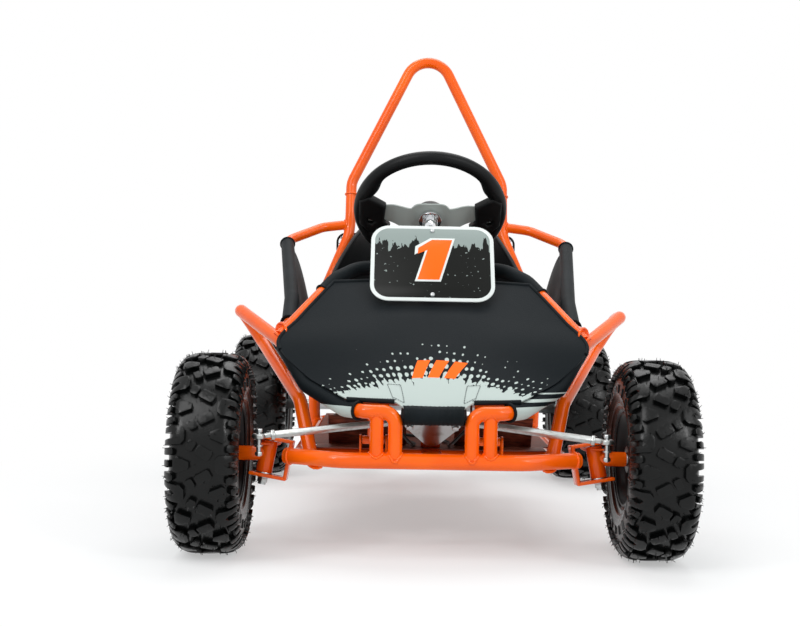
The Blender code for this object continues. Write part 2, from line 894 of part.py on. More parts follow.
def nose_fairing():
    """Fabric stretched over the nose tubes, with a rolled hem between the nose legs."""
    skin = surface("nose_fairing", 14, 8, fairing_point, 0.003, BLACK_FABRIC)
    half = NOSE_INNER_X - SIDE_TUBE / 2 - 0.002
    roll = rod(
        "hem_roll", at(-half, NOSE_Y - 0.001, 0.0795), at(half, NOSE_Y - 0.001, 0.0795), 0.0175, sides=16
    )
    join(skin, roll)
    tubes = [(guard_path(side), SIDE_TUBE, name) for name, side in SIDES]
    tubes.append((dash_path(), SIDE_TUBE, "dash"))
    for path, width, name in tubes:
        cut(skin, as_mesh(curve_tube(f"fairing_cope_{name}", path, width + 2 * GAP)))


def engine_mount():
    """Two crossbars and a plate for the engine, with the tray for the fuel tank."""
    inner = REAR_HALF - MAIN_TUBE / 2 - GAP
    front_y = WHEELBASE - ENGINE_AHEAD - 0.008
    rear_y = front_y + 0.052
    top = REAR_RAIL_H + MAIN_TUBE / 2
    mount = rod(
        "engine_mount", at(-inner, front_y, REAR_RAIL_H), at(inner, front_y, REAR_RAIL_H), 0.0125, ORANGE
    )
    rear = rod("engine_bar", at(-inner, rear_y, REAR_RAIL_H), at(inner, rear_y, REAR_RAIL_H), 0.0125)
    bed = box(
        "engine_bed",
        (0.155, 0.150, 0.006),
        Matrix.Translation(at(-0.0075, front_y + 0.055, BED_TOP - 0.003)),
    )
    tray = box(
        "tank_tray",
        (0.233, 0.130, TRAY),
        Matrix.Translation(at(-0.1935, front_y + 0.018, top + GAP + TRAY / 2)),
    )
    join(mount, rear, bed, tray)


def rear_bumper():
    back = WHEELBASE + REAR_OVERHANG - SIDE_TUBE / 2
    half = [
        (REAR_HALF, WHEELBASE + 0.120 + GAP, REAR_RAIL_H),
        (REAR_HALF, WHEELBASE + 0.140, REAR_RAIL_H),
        (REAR_HALF, back, REAR_RAIL_H + 0.016),
    ]
    curve_tube("rear_bumper", rounded(mirrored(half, -1) + mirrored(half[::-1], 1), 0.05), SIDE_TUBE, ORANGE)


def engine():
    front = WHEELBASE - ENGINE_AHEAD
    back = front + 0.140
    base = BED_TOP + GAP
    top = 0.190
    case = box(
        "crankcase",
        (0.153, back - front, top - base),
        Matrix.Translation(at(0.0015, (front + back) / 2, (top + base) / 2)),
        IRON,
        bevel=0.012,
    )
    cover = rod(
        "recoil_cover",
        at(-0.070, front + 0.075, ENGINE_H + 0.003),
        at(-0.108, front + 0.075, ENGINE_H + 0.003),
        0.060,
        sides=16,
    )
    drive = drive_centre()
    bore = rod("output_bore", drive + Vector((-0.030, 0, 0)), drive + Vector((0.05, 0, 0)), 0.0095)
    join(case, cover)
    cut(case, bore)
    fins = 4
    pitch = 0.0155
    profile = [(0, 0.0)]
    for i in range(fins):
        low = -0.003 - i * pitch
        profile += [(0.034, low), (0.046, low - 0.004), (0.046, low - 0.008), (0.034, low - pitch)]
    end = -0.003 - fins * pitch
    profile += [(0.040, end), (0.044, end - 0.022), (0.030, end - 0.028), (0, end - 0.028)]
    matrix = frame_of(at(0, front - GAP, ENGINE_H), (0, 1, 0), (1, 0, 0))
    turned("cylinder", profile, matrix, IRON, steps=12, ring=False)
    intake = front - 0.080
    carburettor = box(
        "carburettor",
        (0.040, 0.046, 0.048),
        Matrix.Translation(at(0, front - 0.045, 0.217)),
        ALUMINIUM,
        bevel=0.004,
    )
    manifold = as_mesh(
        curve_tube(
            "intake_pipe",
            rounded(
                [at(0, intake, ENGINE_H + 0.0448), at(0, intake, 0.217), at(0, front - 0.05, 0.217)], 0.02
            ),
            0.024,
        )
    )
    bowl = rod("float_bowl", at(0, front - 0.043, 0.200), at(0, front - 0.043, 0.182), 0.015, sides=12)
    join(carburettor, manifold, bowl)
    filter_start = front - 0.022 + GAP
    turned(
        "air_filter",
        [
            (0, 0.072),
            (0.026, 0.072),
            (0.030, 0.066),
            (0.030, 0.010),
            (0.024, 0.004),
            (0.016, 0.0),
            (0, 0.0),
        ],
        frame_of(at(0, filter_start, 0.225), (0, 1, 0), (1, 0, 0)),
        BLACK_PLASTIC,
        steps=12,
        ring=False,
    )


def exhaust():
    head_y = WHEELBASE - ENGINE_AHEAD - 0.079
    x = -0.137
    start = WHEELBASE - 0.025
    path = [at(-0.0450, head_y, ENGINE_H), at(x, head_y, ENGINE_H), at(x, start, ENGINE_H + 0.003)]
    pipe = as_mesh(curve_tube("exhaust", rounded(path, 0.035), 0.024, IRON))
    can = turned(
        "muffler_can",
        [
            (0, 0.220),
            (0.008, 0.220),
            (0.008, 0.202),
            (0.030, 0.202),
            (0.037, 0.192),
            (0.037, 0.025),
            (0.026, 0.010),
            (0.012, 0.0),
            (0, 0.0),
        ],
        frame_of(at(x, start - 0.006, ENGINE_H + 0.003), (0, 1, 0), (1, 0, 0)),
        steps=12,
        ring=False,
    )
    join(pipe, can)


TANK = (0.098, 0.165, 0.120)
TANK_X = -0.2365
TANK_AHEAD = 0.152
TANK_CAP_AHEAD = 0.190
TANK_CAP_RADIUS = 0.022
TRAY = 0.004


def fuel_tank():
    base = REAR_RAIL_H + MAIN_TUBE / 2 + GAP + TRAY + GAP
    tank = box(
        "fuel_tank",
        TANK,
        Matrix.Translation(at(TANK_X, WHEELBASE - TANK_AHEAD, base + TANK[2] / 2)),
        BLACK_PLASTIC,
        bevel=0.014,
    )
    cap = rod(
        "tank_cap",
        at(TANK_X, WHEELBASE - TANK_CAP_AHEAD, base + TANK[2] - 0.005),
        at(TANK_X, WHEELBASE - TANK_CAP_AHEAD, base + TANK[2] + 0.016),
        TANK_CAP_RADIUS,
    )
    join(tank, cap)


def drive_centre():
    return at(CHAIN_X, WHEELBASE - DRIVE_AHEAD, 0.1225)


CHAIN_PLANE = Matrix(((0, 0, 1), (1, 0, 0), (0, 1, 0))).to_4x4()


def chain_frame(x):
    """Local X back, local Y up, local Z to the driver's left, at the rear axle."""
    made = CHAIN_PLANE.copy()
    made.translation = at(x, WHEELBASE, 0)
    return made


def pitch_radius(teeth):
    return CHAIN_PITCH / (2 * math.sin(math.pi / teeth))


def toothed(name, teeth, thickness, bore, matrix, material):
    radius = pitch_radius(teeth)
    outline = []
    for i in range(teeth):
        for share, reach in ((-0.32, -0.0035), (0.0, TOOTH)):
            turn = math.tau * (i + share) / teeth
            outline.append(((radius + reach) * math.cos(turn), (radius + reach) * math.sin(turn)))
    holes = [circle(bore, 16)] if bore else []
    return plate(name, outline, thickness, matrix, material, holes=holes)


def axle_carriers():
    for name, side in SIDES:
        x = side * REAR_HALF
        carrier = box(
            f"axle_carrier_{name}",
            (0.020, 0.070, REAR_RAIL_H - MAIN_TUBE / 2 - GAP + 0.034),
            Matrix.Translation(at(x, WHEELBASE, (REAR_RAIL_H - MAIN_TUBE / 2 - GAP - 0.034) / 2)),
            STEEL,
        )
        boss = rod(
            f"carrier_boss_{name}", at(x - 0.014, WHEELBASE, 0), at(x + 0.014, WHEELBASE, 0), 0.0215
        )
        bore = rod(
            f"carrier_bore_{name}",
            at(x - 0.03, WHEELBASE, 0),
            at(x + 0.03, WHEELBASE, 0),
            clear_of(AXLE_RADIUS, RUNNING, 12),
        )
        join(carrier, boss)
        cut(carrier, bore)


def rim_profile(width, hub):
    """Half section of a pressed rim, out along +z. hub closes it round the axle."""
    half = width / 2
    seat_r = BEAD_RADIUS - RIM_WALL
    outer = [
        (BEAD_RADIUS + 0.008, half),
        (BEAD_RADIUS, half - 0.008),
        (BEAD_RADIUS, -half + 0.008),
        (BEAD_RADIUS + 0.008, -half),
        (seat_r, -half + 0.008),
        (seat_r, 0.004),
    ]
    return [*outer, *hub, (seat_r, 0.012), (seat_r, half - 0.008)]


# Rows of the tyre: shares of its radius and half width, and for a lug of half its pitch
LUG_ROWS = ((1.000, 0.06, 0.65), (1.000, 0.57, 0.40), (0.970, 0.86, 0.35))
WALL_ROWS = ((0.860, 1.00), (0.640, 0.96))


def tyre(name, width, matrix):
    """A carcass open towards the rim, with a ring of lugs on each half, out of step by half a pitch.

    A lug flares towards the crown and the sidewall, and stands with its narrow waist on the ground.
    """
    half = width / 2
    count = 2 * LUGS
    step = math.tau / count
    waist_radius, waist_across, waist_arc = LUG_ROWS[1]
    reach = TYRE_RADIUS / math.cos(step * (0.5 - waist_arc))
    bead = clear_of(BEAD_RADIUS, 0.0005, count)
    bead_half = (width - RIM_NARROWER) / 2 - 0.010
    liner = (LUG_ROWS[2][0] * TYRE_RADIUS - CARCASS, LUG_ROWS[2][1] * (half - CARCASS))
    rings = [(r * TYRE_RADIUS, x * half) for r, x in WALL_ROWS]
    rings += [(bead, bead_half), (bead, bead_half - CARCASS), liner]
    shape = bmesh.new()
    floors = []
    walls = []
    for side in (1, -1):

        def corner(radius, across, turn, side=side):
            return shape.verts.new((radius * math.cos(turn), radius * math.sin(turn), side * across))

        centres = [step * (side / 2 + 2 * lug) for lug in range(LUGS)]
        middles = [corner(waist_radius * TYRE_RADIUS, waist_across * half, turn) for turn in centres]
        tops = []
        floor = []
        wall = []
        for number in range(count):
            centre = centres[number // 2]
            way = step * (2 * (number % 2) - 1)
            tops.append([corner(r * reach, x * half, centre + way * arc) for r, x, arc in LUG_ROWS])
            floor.append(
                [corner(r * reach - LUG_HEIGHT, x * half, centre + way * arc) for r, x, arc in LUG_ROWS[:2]]
            )
            wall.append([corner(r, x, centre + way / 2) for r, x in rings])
        for i in range(count):
            j = (i + 1) % count
            shape.faces.new((*floor[i], wall[i][0], *reversed(tops[i])))
            if i % 2 == 0:
                middle = middles[i // 2]
                shape.faces.new((tops[i][0], tops[i][1], middle, tops[j][1], tops[j][0]))
                shape.faces.new((tops[i][1], tops[i][2], tops[j][2], tops[j][1], middle))
                shape.faces.new((tops[i][2], wall[i][0], wall[j][0], tops[j][2]))
                shape.faces.new((floor[i][0], tops[i][0], tops[j][0], floor[j][0]))
            else:
                shape.faces.new((floor[i][0], floor[i][1], floor[j][1], floor[j][0]))
                shape.faces.new((floor[i][1], wall[i][0], wall[j][0], floor[j][1]))
            for row in range(len(rings) - 1):
                shape.faces.new((wall[i][row], wall[i][row + 1], wall[j][row + 1], wall[j][row]))
        floors.append(floor)
        walls.append(wall)
    for i in range(count):
        j = (i + 1) % count
        after = (i + 2) % count
        shape.faces.new((floors[0][i][0], floors[0][j][0], floors[1][after][0], floors[1][j][0]))
        shape.faces.new((walls[0][i][-1], walls[0][j][-1], walls[1][after][-1], walls[1][j][-1]))
    bmesh.ops.recalc_face_normals(shape, faces=shape.faces[:])
    bmesh.ops.triangulate(shape, faces=shape.faces[:])
    return mesh_object(name, shape, matrix, RUBBER)


def wheel_frame(x, y, side):
    """Local Z outwards, local X down."""
    return frame_of(at(x, y, 0), (side, 0, 0), (0, 0, -1))


def wheel(prefix, name, side, x, y, width, hub):
    """Tyre of that width, and its rim."""
    matrix = wheel_frame(x, y, side)
    profile = rim_profile(width - RIM_NARROWER, hub)
    rim = turned(f"{prefix}_rim_{name}", profile, matrix, BLACK_PLASTIC, steps=RIM_STEPS)
    return tyre(f"{prefix}_tyre_{name}", width, matrix), rim


def front_wheels():
    bore = clear_of(STUB_RADIUS, RUNNING, RIM_STEPS)
    hub = [(0.024, 0.004), (0.024, -0.041), (bore, -0.041), (bore, 0.012)]
    for name, side in SIDES:
        x = side * FRONT_X
        empty = pivot(f"front_wheel_{name}_axis", at(x, 0, 0))
        carry(empty, *wheel("front", name, side, x, 0, FRONT_TYRE_WIDTH, hub))


def rear_axle():
    """Solid axle that turns both rear wheels, with sprocket and brake disc on it."""
    empty = pivot("rear_axle_axis", at(0, WHEELBASE, 0))
    bore = clear_of(AXLE_RADIUS, GAP, RIM_STEPS)
    hub = [(bore, 0.004), (bore, 0.012)]
    end = REAR_X + 0.026
    shaft = rod("axle_shaft", at(-end, WHEELBASE, 0), at(end, WHEELBASE, 0), AXLE_RADIUS, STEEL)
    for name, side in SIDES:
        inner = rod(
            f"axle_hub_{name}",
            at(side * (REAR_X - 0.050), WHEELBASE, 0),
            at(side * (REAR_X + 0.004 - GAP), WHEELBASE, 0),
            0.026,
        )
        nut = rod(
            f"axle_nut_{name}",
            at(side * (REAR_X + 0.012 + GAP), WHEELBASE, 0),
            at(side * (REAR_X + 0.023), WHEELBASE, 0),
            0.017,
            sides=6,
        )
        join(shaft, inner, nut)
        x = side * REAR_X
        carry(empty, *wheel("rear", name, side, x, WHEELBASE, REAR_TYRE_WIDTH, hub))
    sprocket = toothed("axle_sprocket", REAR_TEETH, 0.006, bore, chain_frame(CHAIN_X), STEEL)
    disc = plate(
        "brake_disc",
        circle(BRAKE_RADIUS, 24),
        BRAKE_THICKNESS,
        chain_frame(BRAKE_X),
        STEEL,
        holes=[circle(bore, 16)],
    )
    carry(empty, shaft, sprocket, disc)


def chain_run():
    """Band of chain round both sprockets, the guard over it and the small sprocket."""
    drive = drive_centre()
    centre = (drive.y - at(0, WHEELBASE, 0).y, drive.z - TYRE_RADIUS)
    band = [
        belt((0, 0), pitch_radius(REAR_TEETH) + more, centre, pitch_radius(DRIVE_TEETH) + more)
        for more in (TOOTH + 0.0055, TOOTH + 0.0015)
    ]
    plate("chain", band[0], 0.009, chain_frame(CHAIN_X), IRON, holes=[band[1]])
    shells = [
        belt((0, 0), pitch_radius(REAR_TEETH) + more, centre, pitch_radius(DRIVE_TEETH) + more)
        for more in (0.0200, 0.0175)
    ]
    guard = plate("chain_guard", shells[0], 0.028, chain_frame(CHAIN_X + 0.003), BLACK_PLASTIC)
    inside = plate("chain_guard_inside", shells[1], 0.030, chain_frame(CHAIN_X - 0.0005))
    slope = math.atan2(-centre[1], -centre[0])
    below = box(
        "chain_guard_below",
        (0.60, 0.30, 0.08),
        chain_frame(CHAIN_X)
        @ Matrix.Translation((centre[0] / 2, centre[1] / 2, 0))
        @ Matrix.Rotation(slope, 4, "Z")
        @ Matrix.Translation((0, -0.132, 0)),
    )
    stay_y = WHEELBASE + 0.030
    foot_h = REAR_RAIL_H + MAIN_TUBE / 2 + GAP
    stay = box(
        "chain_guard_stay",
        (0.0025, 0.020, 0.025),
        Matrix.Translation(at(CHAIN_X + 0.01575, stay_y, foot_h + 0.0125)),
    )
    foot = box(
        "chain_guard_foot",
        (0.062, 0.020, 0.003),
        Matrix.Translation(at(CHAIN_X + 0.0455, stay_y, foot_h + 0.0015)),
    )
    cut(guard, inside, below)
    join(guard, stay, foot)
    small = toothed("drive_sprocket", DRIVE_TEETH, 0.006, 0, frame_at(drive), STEEL)
    stub = rod("output_shaft", drive + Vector((-0.027, 0, 0)), drive + Vector((0.005, 0, 0)), 0.0085)
    join(small, stub)
    carry(pivot("drive_sprocket_axis", drive), small)


def frame_at(place_at):
    made = CHAIN_PLANE.copy()
    made.translation = place_at
    return made


def brake_caliper():
    centre_y = WHEELBASE + 0.069
    caliper = box(
        "brake_caliper",
        (0.044, 0.046, 0.052),
        Matrix.Translation(at(BRAKE_X, centre_y, 0.020)),
        ALUMINIUM,
        bevel=0.004,
    )
    reach = -REAR_HALF + MAIN_TUBE / 2 + GAP
    arm = box(
        "caliper_arm",
        (BRAKE_X - 0.015 - reach, 0.020, 0.012),
        Matrix.Translation(at((BRAKE_X - 0.015 + reach) / 2, centre_y + 0.012, REAR_RAIL_H)),
    )
    slot = rod(
        "disc_slot",
        at(BRAKE_X - BRAKE_THICKNESS, WHEELBASE, 0),
        at(BRAKE_X + BRAKE_THICKNESS, WHEELBASE, 0),
        BRAKE_RADIUS + 0.0025,
        sides=48,
    )
    join(caliper, arm)
    cut(caliper, slot)


GUARD_HALF = 0.210
GUARD_LOW = 0.1525
GUARD_HIGH = 0.4285
GUARD_WIRE = 0.005


def engine_guard():
    """Wire grille between the seat and the engine."""
    columns = 6
    rows = 3
    y = HOOP_Y + HOOP_TUBE / 2 + GAP + GUARD_WIRE / 2
    width = 2 * GUARD_HALF
    height = GUARD_HIGH - GUARD_LOW
    corner = 0.022
    outline = [(-GUARD_HALF, 0), (GUARD_HALF, 0)]
    for x, start in ((GUARD_HALF - corner, 0), (-GUARD_HALF + corner, math.pi / 2)):
        outline += circle_arc((x, height - corner), corner, start, start + math.pi / 2, 4)
    cell_x = (width - GUARD_WIRE) / columns
    cell_z = (height - GUARD_WIRE) / rows
    holes = []
    for i in range(columns):
        for j in range(rows):
            if j == rows - 1 and i in (0, columns - 1):
                continue
            left = -GUARD_HALF + GUARD_WIRE + i * cell_x
            low = GUARD_WIRE + j * cell_z
            right = left + cell_x - GUARD_WIRE
            high = low + cell_z - GUARD_WIRE
            holes.append([(left, low), (right, low), (right, high), (left, high)])
    matrix = frame_of(at(0, y, GUARD_LOW), (0, -1, 0), (1, 0, 0))
    plate("engine_guard", outline, GUARD_WIRE, matrix, STEEL, holes=holes)


def circle_arc(centre, radius, start, end, count):
    turns = [start + (end - start) * i / count for i in range(count + 1)]
    return [(centre[0] + radius * math.cos(t), centre[1] + radius * math.sin(t)) for t in turns]


def pitman_pivot(side):
    return on_column(0, side * PITMAN_SPREAD, PITMAN_REACH)


def steering():
    """Steering wheel, hub, column and pitman plate, which turn together."""
    empty = pivot("steering_axis", on_column(0))
    shaft = rod("steering_column", on_column(-0.012), on_column(COLUMN_LENGTH), COLUMN_RADIUS, CHROME)
    flange = rod("column_flange", on_column(COLUMN_LENGTH - 0.010), on_column(COLUMN_LENGTH), 0.024)
    boss = rod("column_boss", on_column(COLUMN_LENGTH - 0.045), on_column(COLUMN_LENGTH - 0.008), 0.016)
    plate_low = -0.0105
    ear = 0.0095
    ear_x = PITMAN_SPREAD
    ear_y = PITMAN_REACH
    outline = [
        *circle_arc((ear_x, ear_y), ear, -math.pi / 4, math.pi / 2, 5),
        *circle_arc((-ear_x, ear_y), ear, math.pi / 2, math.pi * 5 / 4, 5),
        *circle_arc((0, 0), 0.018, math.pi * 1.15, math.pi * 1.85, 6),
    ]
    fan = plate("pitman_plate", outline, 0.005, column_frame(plate_low))
    join(shaft, flange, boss, fan)
    for name, side in SIDES:
        where = pitman_pivot(side)
        bolt = rod(
            f"pitman_bolt_{name}",
            where + COLUMN_UP * (plate_low - 0.008),
            where + COLUMN_UP * 0.012,
            0.004,
            sides=8,
        )
        washer = rod(
            f"pitman_washer_{name}", where + COLUMN_UP * 0.0068, where + COLUMN_UP * 0.0085, 0.0125
        )
        head = rod(
            f"pitman_nut_{name}", where + COLUMN_UP * 0.0080, where + COLUMN_UP * 0.0130, 0.0075, sides=6
        )
        join(shaft, bolt, washer, head)
    ring_radius = (WHEEL_OUTER - WHEEL_GRIP) / 2
    seat_at = COLUMN_LENGTH + GAP
    rim_at = seat_at + 0.0225
    spokes = plate(
        "steering_wheel",
        [
            (-ring_radius + 0.004, 0.030),
            (-0.050, 0.030),
            (-0.034, 0.040),
            (0.034, 0.040),
            (0.050, 0.030),
            (ring_radius - 0.004, 0.030),
            (ring_radius - 0.004, -0.004),
            (0.045, -0.024),
            (0.020, -0.034),
            (-0.020, -0.034),
            (-0.045, -0.024),
            (-ring_radius + 0.004, -0.004),
        ],
        0.005,
        column_frame(seat_at + 0.0025),
        GRIP,
    )
    ring_shape = [
        (ring_radius + WHEEL_GRIP / 2 * math.cos(t), -WHEEL_GRIP / 2 * math.sin(t))
        for t in [math.tau * i / 8 for i in range(8)]
    ]
    ring = turned("wheel_ring", ring_shape, column_frame(rim_at), steps=24)
    join(spokes, ring)
    for name, side in SIDES:
        boot = box(
            f"spoke_boot_{name}",
            (0.040, 0.036, 0.026),
            column_frame(seat_at + 0.013) @ Matrix.Translation((side * (ring_radius - 0.020), 0.012, 0)),
        )
        join(spokes, boot)
    pad = turned(
        "hub_pad",
        [(0, 0.026), (0.016, 0.024), (0.028, 0.017), (0.034, 0.006), (0.034, 0.0), (0, 0.0)],
        column_frame(seat_at + 0.005 + GAP),
        BLACK_PLASTIC,
        steps=16,
        ring=False,
    )
    carry(empty, shaft, spokes, pad)


BALL_OUT = 0.009
BALL_AHEAD = 0.060
BALL_H = 0.0365
EYE_HEIGHT = 0.009
STUD_RADIUS = 0.0042


def ball_joint(side):
    return at(side * (KINGPIN_X + BALL_OUT), -BALL_AHEAD, BALL_H)


def knuckles():
    """Steering knuckle on each kingpin: barrel, stub axle, arm and ball stud."""
    height = BRACKET_HEIGHT - 2 * BRACKET_WALL - 0.004
    for name, side in SIDES:
        local = kingpin_frame(side)
        barrel = rod(
            f"knuckle_{name}",
            local @ Vector((0, 0, -height / 2)),
            local @ Vector((0, 0, height / 2)),
            0.0145,
            ORANGE,
        )
        shoulder = rod(
            f"stub_root_{name}",
            at(side * KINGPIN_X, 0, 0),
            at(side * (FRONT_X - 0.0425), 0, 0),
            0.0130,
        )
        stub = rod(
            f"stub_axle_{name}",
            at(side * (FRONT_X - 0.0465), 0, 0),
            at(side * (FRONT_X + 0.024), 0, 0),
            STUB_RADIUS,
        )
        nut = rod(
            f"stub_nut_{name}",
            at(side * (FRONT_X + 0.0130), 0, 0),
            at(side * (FRONT_X + 0.0230), 0, 0),
            0.0155,
            sides=6,
        )
        ball = ball_joint(side)
        arm_h = 0.014
        arm_end = at(side * (KINGPIN_X + BALL_OUT), -BALL_AHEAD, arm_h)
        arm_start = at(side * KINGPIN_X, -0.004, arm_h)
        run = arm_end - arm_start
        arm = box(
            f"steering_arm_{name}",
            (0.022, 0.008, run.length),
            frame_of((arm_start + arm_end) / 2, run, (1, 0, 0)),
        )
        tip = rod(f"arm_tip_{name}", arm_end - Vector((0, 0, 0.004)), arm_end + Vector((0, 0, 0.004)), 0.0115)
        up = Vector((0, 0, 1))
        stud = rod(
            f"ball_stud_{name}", arm_end - up * 0.012, ball + up * 0.012, STUD_RADIUS, sides=8
        )
        cap = rod(f"stud_nut_{name}", ball + up * 0.0075, ball + up * 0.0130, 0.0070, sides=6)
        bore = rod(
            f"knuckle_bore_{name}",
            local @ Vector((0, 0, -0.06)),
            local @ Vector((0, 0, 0.06)),
            clear_of(KINGPIN_RADIUS, RUNNING, 12),
        )
        join(barrel, shoulder, stub, nut, arm, tip, stud, cap)
        cut(barrel, bore)
        carry(pivot(f"knuckle_{name}_axis", at(side * KINGPIN_X, 0, KINGPIN_H)), barrel)


def tie_rods():
    """Hexagon bar with a rod end at the knuckle and a wide eye at the pitman plate."""
    for name, side in SIDES:
        outer = ball_joint(side)
        inner = pitman_pivot(side)
        run = (inner - outer).normalized()
        bar = rod(
            f"tie_rod_{name}", outer + run * 0.028, inner - run * 0.030, ROD_RADIUS, STEEL, sides=6
        )
        shanks = [
            rod(f"outer_shank_{name}", outer + run * 0.009, outer + run * 0.030, 0.0048, sides=8),
            rod(f"inner_shank_{name}", inner - run * 0.0135, inner - run * 0.032, 0.0048, sides=8),
        ]
        up = Vector((0, 0, 1))
        eye = rod(f"outer_eye_{name}", outer - up * EYE_HEIGHT / 2, outer + up * EYE_HEIGHT / 2, 0.0125)
        wide = rod(
            f"inner_eye_{name}",
            inner - COLUMN_UP * EYE_HEIGHT / 2,
            inner + COLUMN_UP * EYE_HEIGHT / 2,
            0.0150,
        )
        nuts = [
            rod(f"jam_nut_{name}_outer", outer + run * 0.021, outer + run * 0.0285, 0.0095, sides=6),
            rod(f"jam_nut_{name}_inner", inner - run * 0.0305, inner - run * 0.023, 0.0095, sides=6),
        ]
        holes = [
            rod(f"outer_hole_{name}", outer - up * 0.02, outer + up * 0.02, 0.0056, sides=12),
            rod(f"inner_hole_{name}", inner - COLUMN_UP * 0.02, inner + COLUMN_UP * 0.02, 0.0104),
        ]
        join(bar, *shanks, eye, wide, *nuts)
        cut(bar, *holes)
        carry(pivot(f"tie_rod_{name}_axis", outer), bar)


def pedals():
    """Throttle on the driver's right, brake on the left, each on a pin between ears."""
    for name, side in (("brake_pedal", 1), ("throttle_pedal", -1)):
        x = side * PEDAL_X
        home = at(x, PEDAL_Y, PEDAL_H)
        half = 0.0235 - 0.002 - 0.0015
        barrel = rod(name, home - Vector((half, 0, 0)), home + Vector((half, 0, 0)), 0.008, ORANGE)
        top = at(x, PEDAL_Y - 0.012, PEDAL_H + 0.088)
        run = top - home
        arm = box(f"{name}_arm", (0.022, 0.007, run.length), frame_of((home + top) / 2, run, (1, 0, 0)))
        pad = box(
            f"{name}_pad",
            (0.056, 0.007, 0.062),
            frame_of(top + Vector((0, 0.004, -0.006)), run, (1, 0, 0)),
        )
        join(barrel, arm, pad)
        carry(pivot(f"{name}_axis", home), barrel)


CABLE = 0.006
THROTTLE_ROUTE = [
    (-0.079, 0.052, 0.052),
    (-0.060, 0.040, 0.040),
    (-0.041, 0.048, 0.020),
    (-0.034, 0.078, 0.010),
    (-0.034, 0.130, 0.0086),
    (-0.090, 0.240, 0.0086),
    (-0.180, 0.340, 0.0086),
    (-0.205, 0.440, 0.0086),
    (-0.205, WHEELBASE - 0.390, 0.0086),
    (-0.180, WHEELBASE - 0.295, 0.0110),
    (-0.128, WHEELBASE - 0.245, 0.0300),
    (-0.092, WHEELBASE - 0.224, 0.0620),
    (-0.078, WHEELBASE - 0.210, 0.1000),
    (-0.070, WHEELBASE - 0.204, 0.1600),
    (-0.048, WHEELBASE - 0.204, 0.2080),
    (-0.0206, WHEELBASE - 0.204, 0.2170),
]
BRAKE_ROUTE = [
    (0.079, 0.052, 0.052),
    (0.060, 0.040, 0.040),
    (0.041, 0.048, 0.020),
    (0.034, 0.078, 0.010),
    (0.034, 0.140, 0.0086),
    (0.000, 0.215, 0.0086),
    (-0.090, 0.300, 0.0086),
    (-0.165, 0.380, 0.0086),
    (-0.190, 0.460, 0.0086),
    (-0.190, WHEELBASE - 0.390, 0.0086),
    (-0.152, WHEELBASE - 0.295, 0.0086),
    (-0.132, WHEELBASE - 0.220, 0.0080),
    (-0.130, WHEELBASE - 0.130, 0.0080),
    (-0.130, WHEELBASE - 0.060, 0.0140),
    (-0.130, WHEELBASE, 0.0230),
    (-0.130, WHEELBASE + 0.060, 0.0200),
    (-0.122, WHEELBASE + 0.106, 0.0160),
    (-0.106, WHEELBASE + 0.112, 0.0150),
    (-0.096, WHEELBASE + 0.0945, 0.0150),
]


def cables():
    """Sheathed throttle and brake cables, held along their whole route."""
    for name, route in (("throttle_cable", THROTTLE_ROUTE), ("brake_cable", BRAKE_ROUTE)):
        path = smooth_route([at(*point) for point in route])
        curve_tube(name, path, CABLE, BLACK_PLASTIC, resolution=1)


def main():
    front_beam()
    kingpins()
    rails_and_guards()
    dash_hoop()
    number_plate()
    column_foot()
    floor_pan()
    seat()
    hoops_and_arms()
    arm_pads()
    nose_fairing()
    engine_mount()
    rear_bumper()
    engine()
    exhaust()
    fuel_tank()
    axle_carriers()
    brake_caliper()
    engine_guard()
    chain_run()
    front_wheels()
    rear_axle()
    steering()
    knuckles()
    tie_rods()
    pedals()
    cables()


main()
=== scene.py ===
"""Small off-road go-kart: the looks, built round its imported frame.

Metres, +Z up, +X to the driver's left, -Y forwards. As in the model's own source, at() takes
y back from the front axle and z up from the axle line.
"""

import math
import random

import bmesh
import bpy
from mathutils import Matrix, Vector


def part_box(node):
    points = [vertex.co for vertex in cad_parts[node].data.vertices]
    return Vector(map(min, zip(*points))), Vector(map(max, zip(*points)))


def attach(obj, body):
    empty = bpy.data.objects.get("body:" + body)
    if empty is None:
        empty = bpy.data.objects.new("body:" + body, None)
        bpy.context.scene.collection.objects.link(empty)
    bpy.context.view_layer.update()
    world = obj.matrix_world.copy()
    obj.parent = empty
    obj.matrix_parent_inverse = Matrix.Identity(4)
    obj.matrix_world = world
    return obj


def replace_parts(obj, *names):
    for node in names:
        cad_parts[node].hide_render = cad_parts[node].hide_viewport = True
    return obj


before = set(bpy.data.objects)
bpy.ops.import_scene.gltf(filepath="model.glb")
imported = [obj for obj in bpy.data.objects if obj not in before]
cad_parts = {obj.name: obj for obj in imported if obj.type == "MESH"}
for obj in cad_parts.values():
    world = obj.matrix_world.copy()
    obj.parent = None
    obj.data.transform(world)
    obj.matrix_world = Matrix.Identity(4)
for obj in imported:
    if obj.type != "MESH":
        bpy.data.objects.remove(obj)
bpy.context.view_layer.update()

SIDES = (("left", 1), ("right", -1))
SLOT = "slot"
UP = Vector((0, 0, 1))
ACROSS = Vector((1, 0, 0))
BACK = Vector((0, 1, 0))


def middle(node):
    low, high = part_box(node)
    return (low + high) / 2


# Places read from the frame
FRONT_HUB = middle("front_tyre_left")
REAR_HUB = middle("rear_tyre_left")
WHEELBASE = REAR_HUB.y - FRONT_HUB.y
AXLE_H = FRONT_HUB.z
TYRE_RADIUS = 0.1775
FRONT_TYRE = 0.120
REAR_TYRE = 0.134
RIM_NARROWER = 0.026


def at(x, y, z):
    return Vector((x, y + FRONT_HUB.y, z + AXLE_H))


# Selecting, applying and joining


def lone(obj):
    """Selects one object, alone and active."""
    bpy.ops.object.select_all(action="DESELECT")
    obj.select_set(True)
    bpy.context.view_layer.objects.active = obj
    return obj


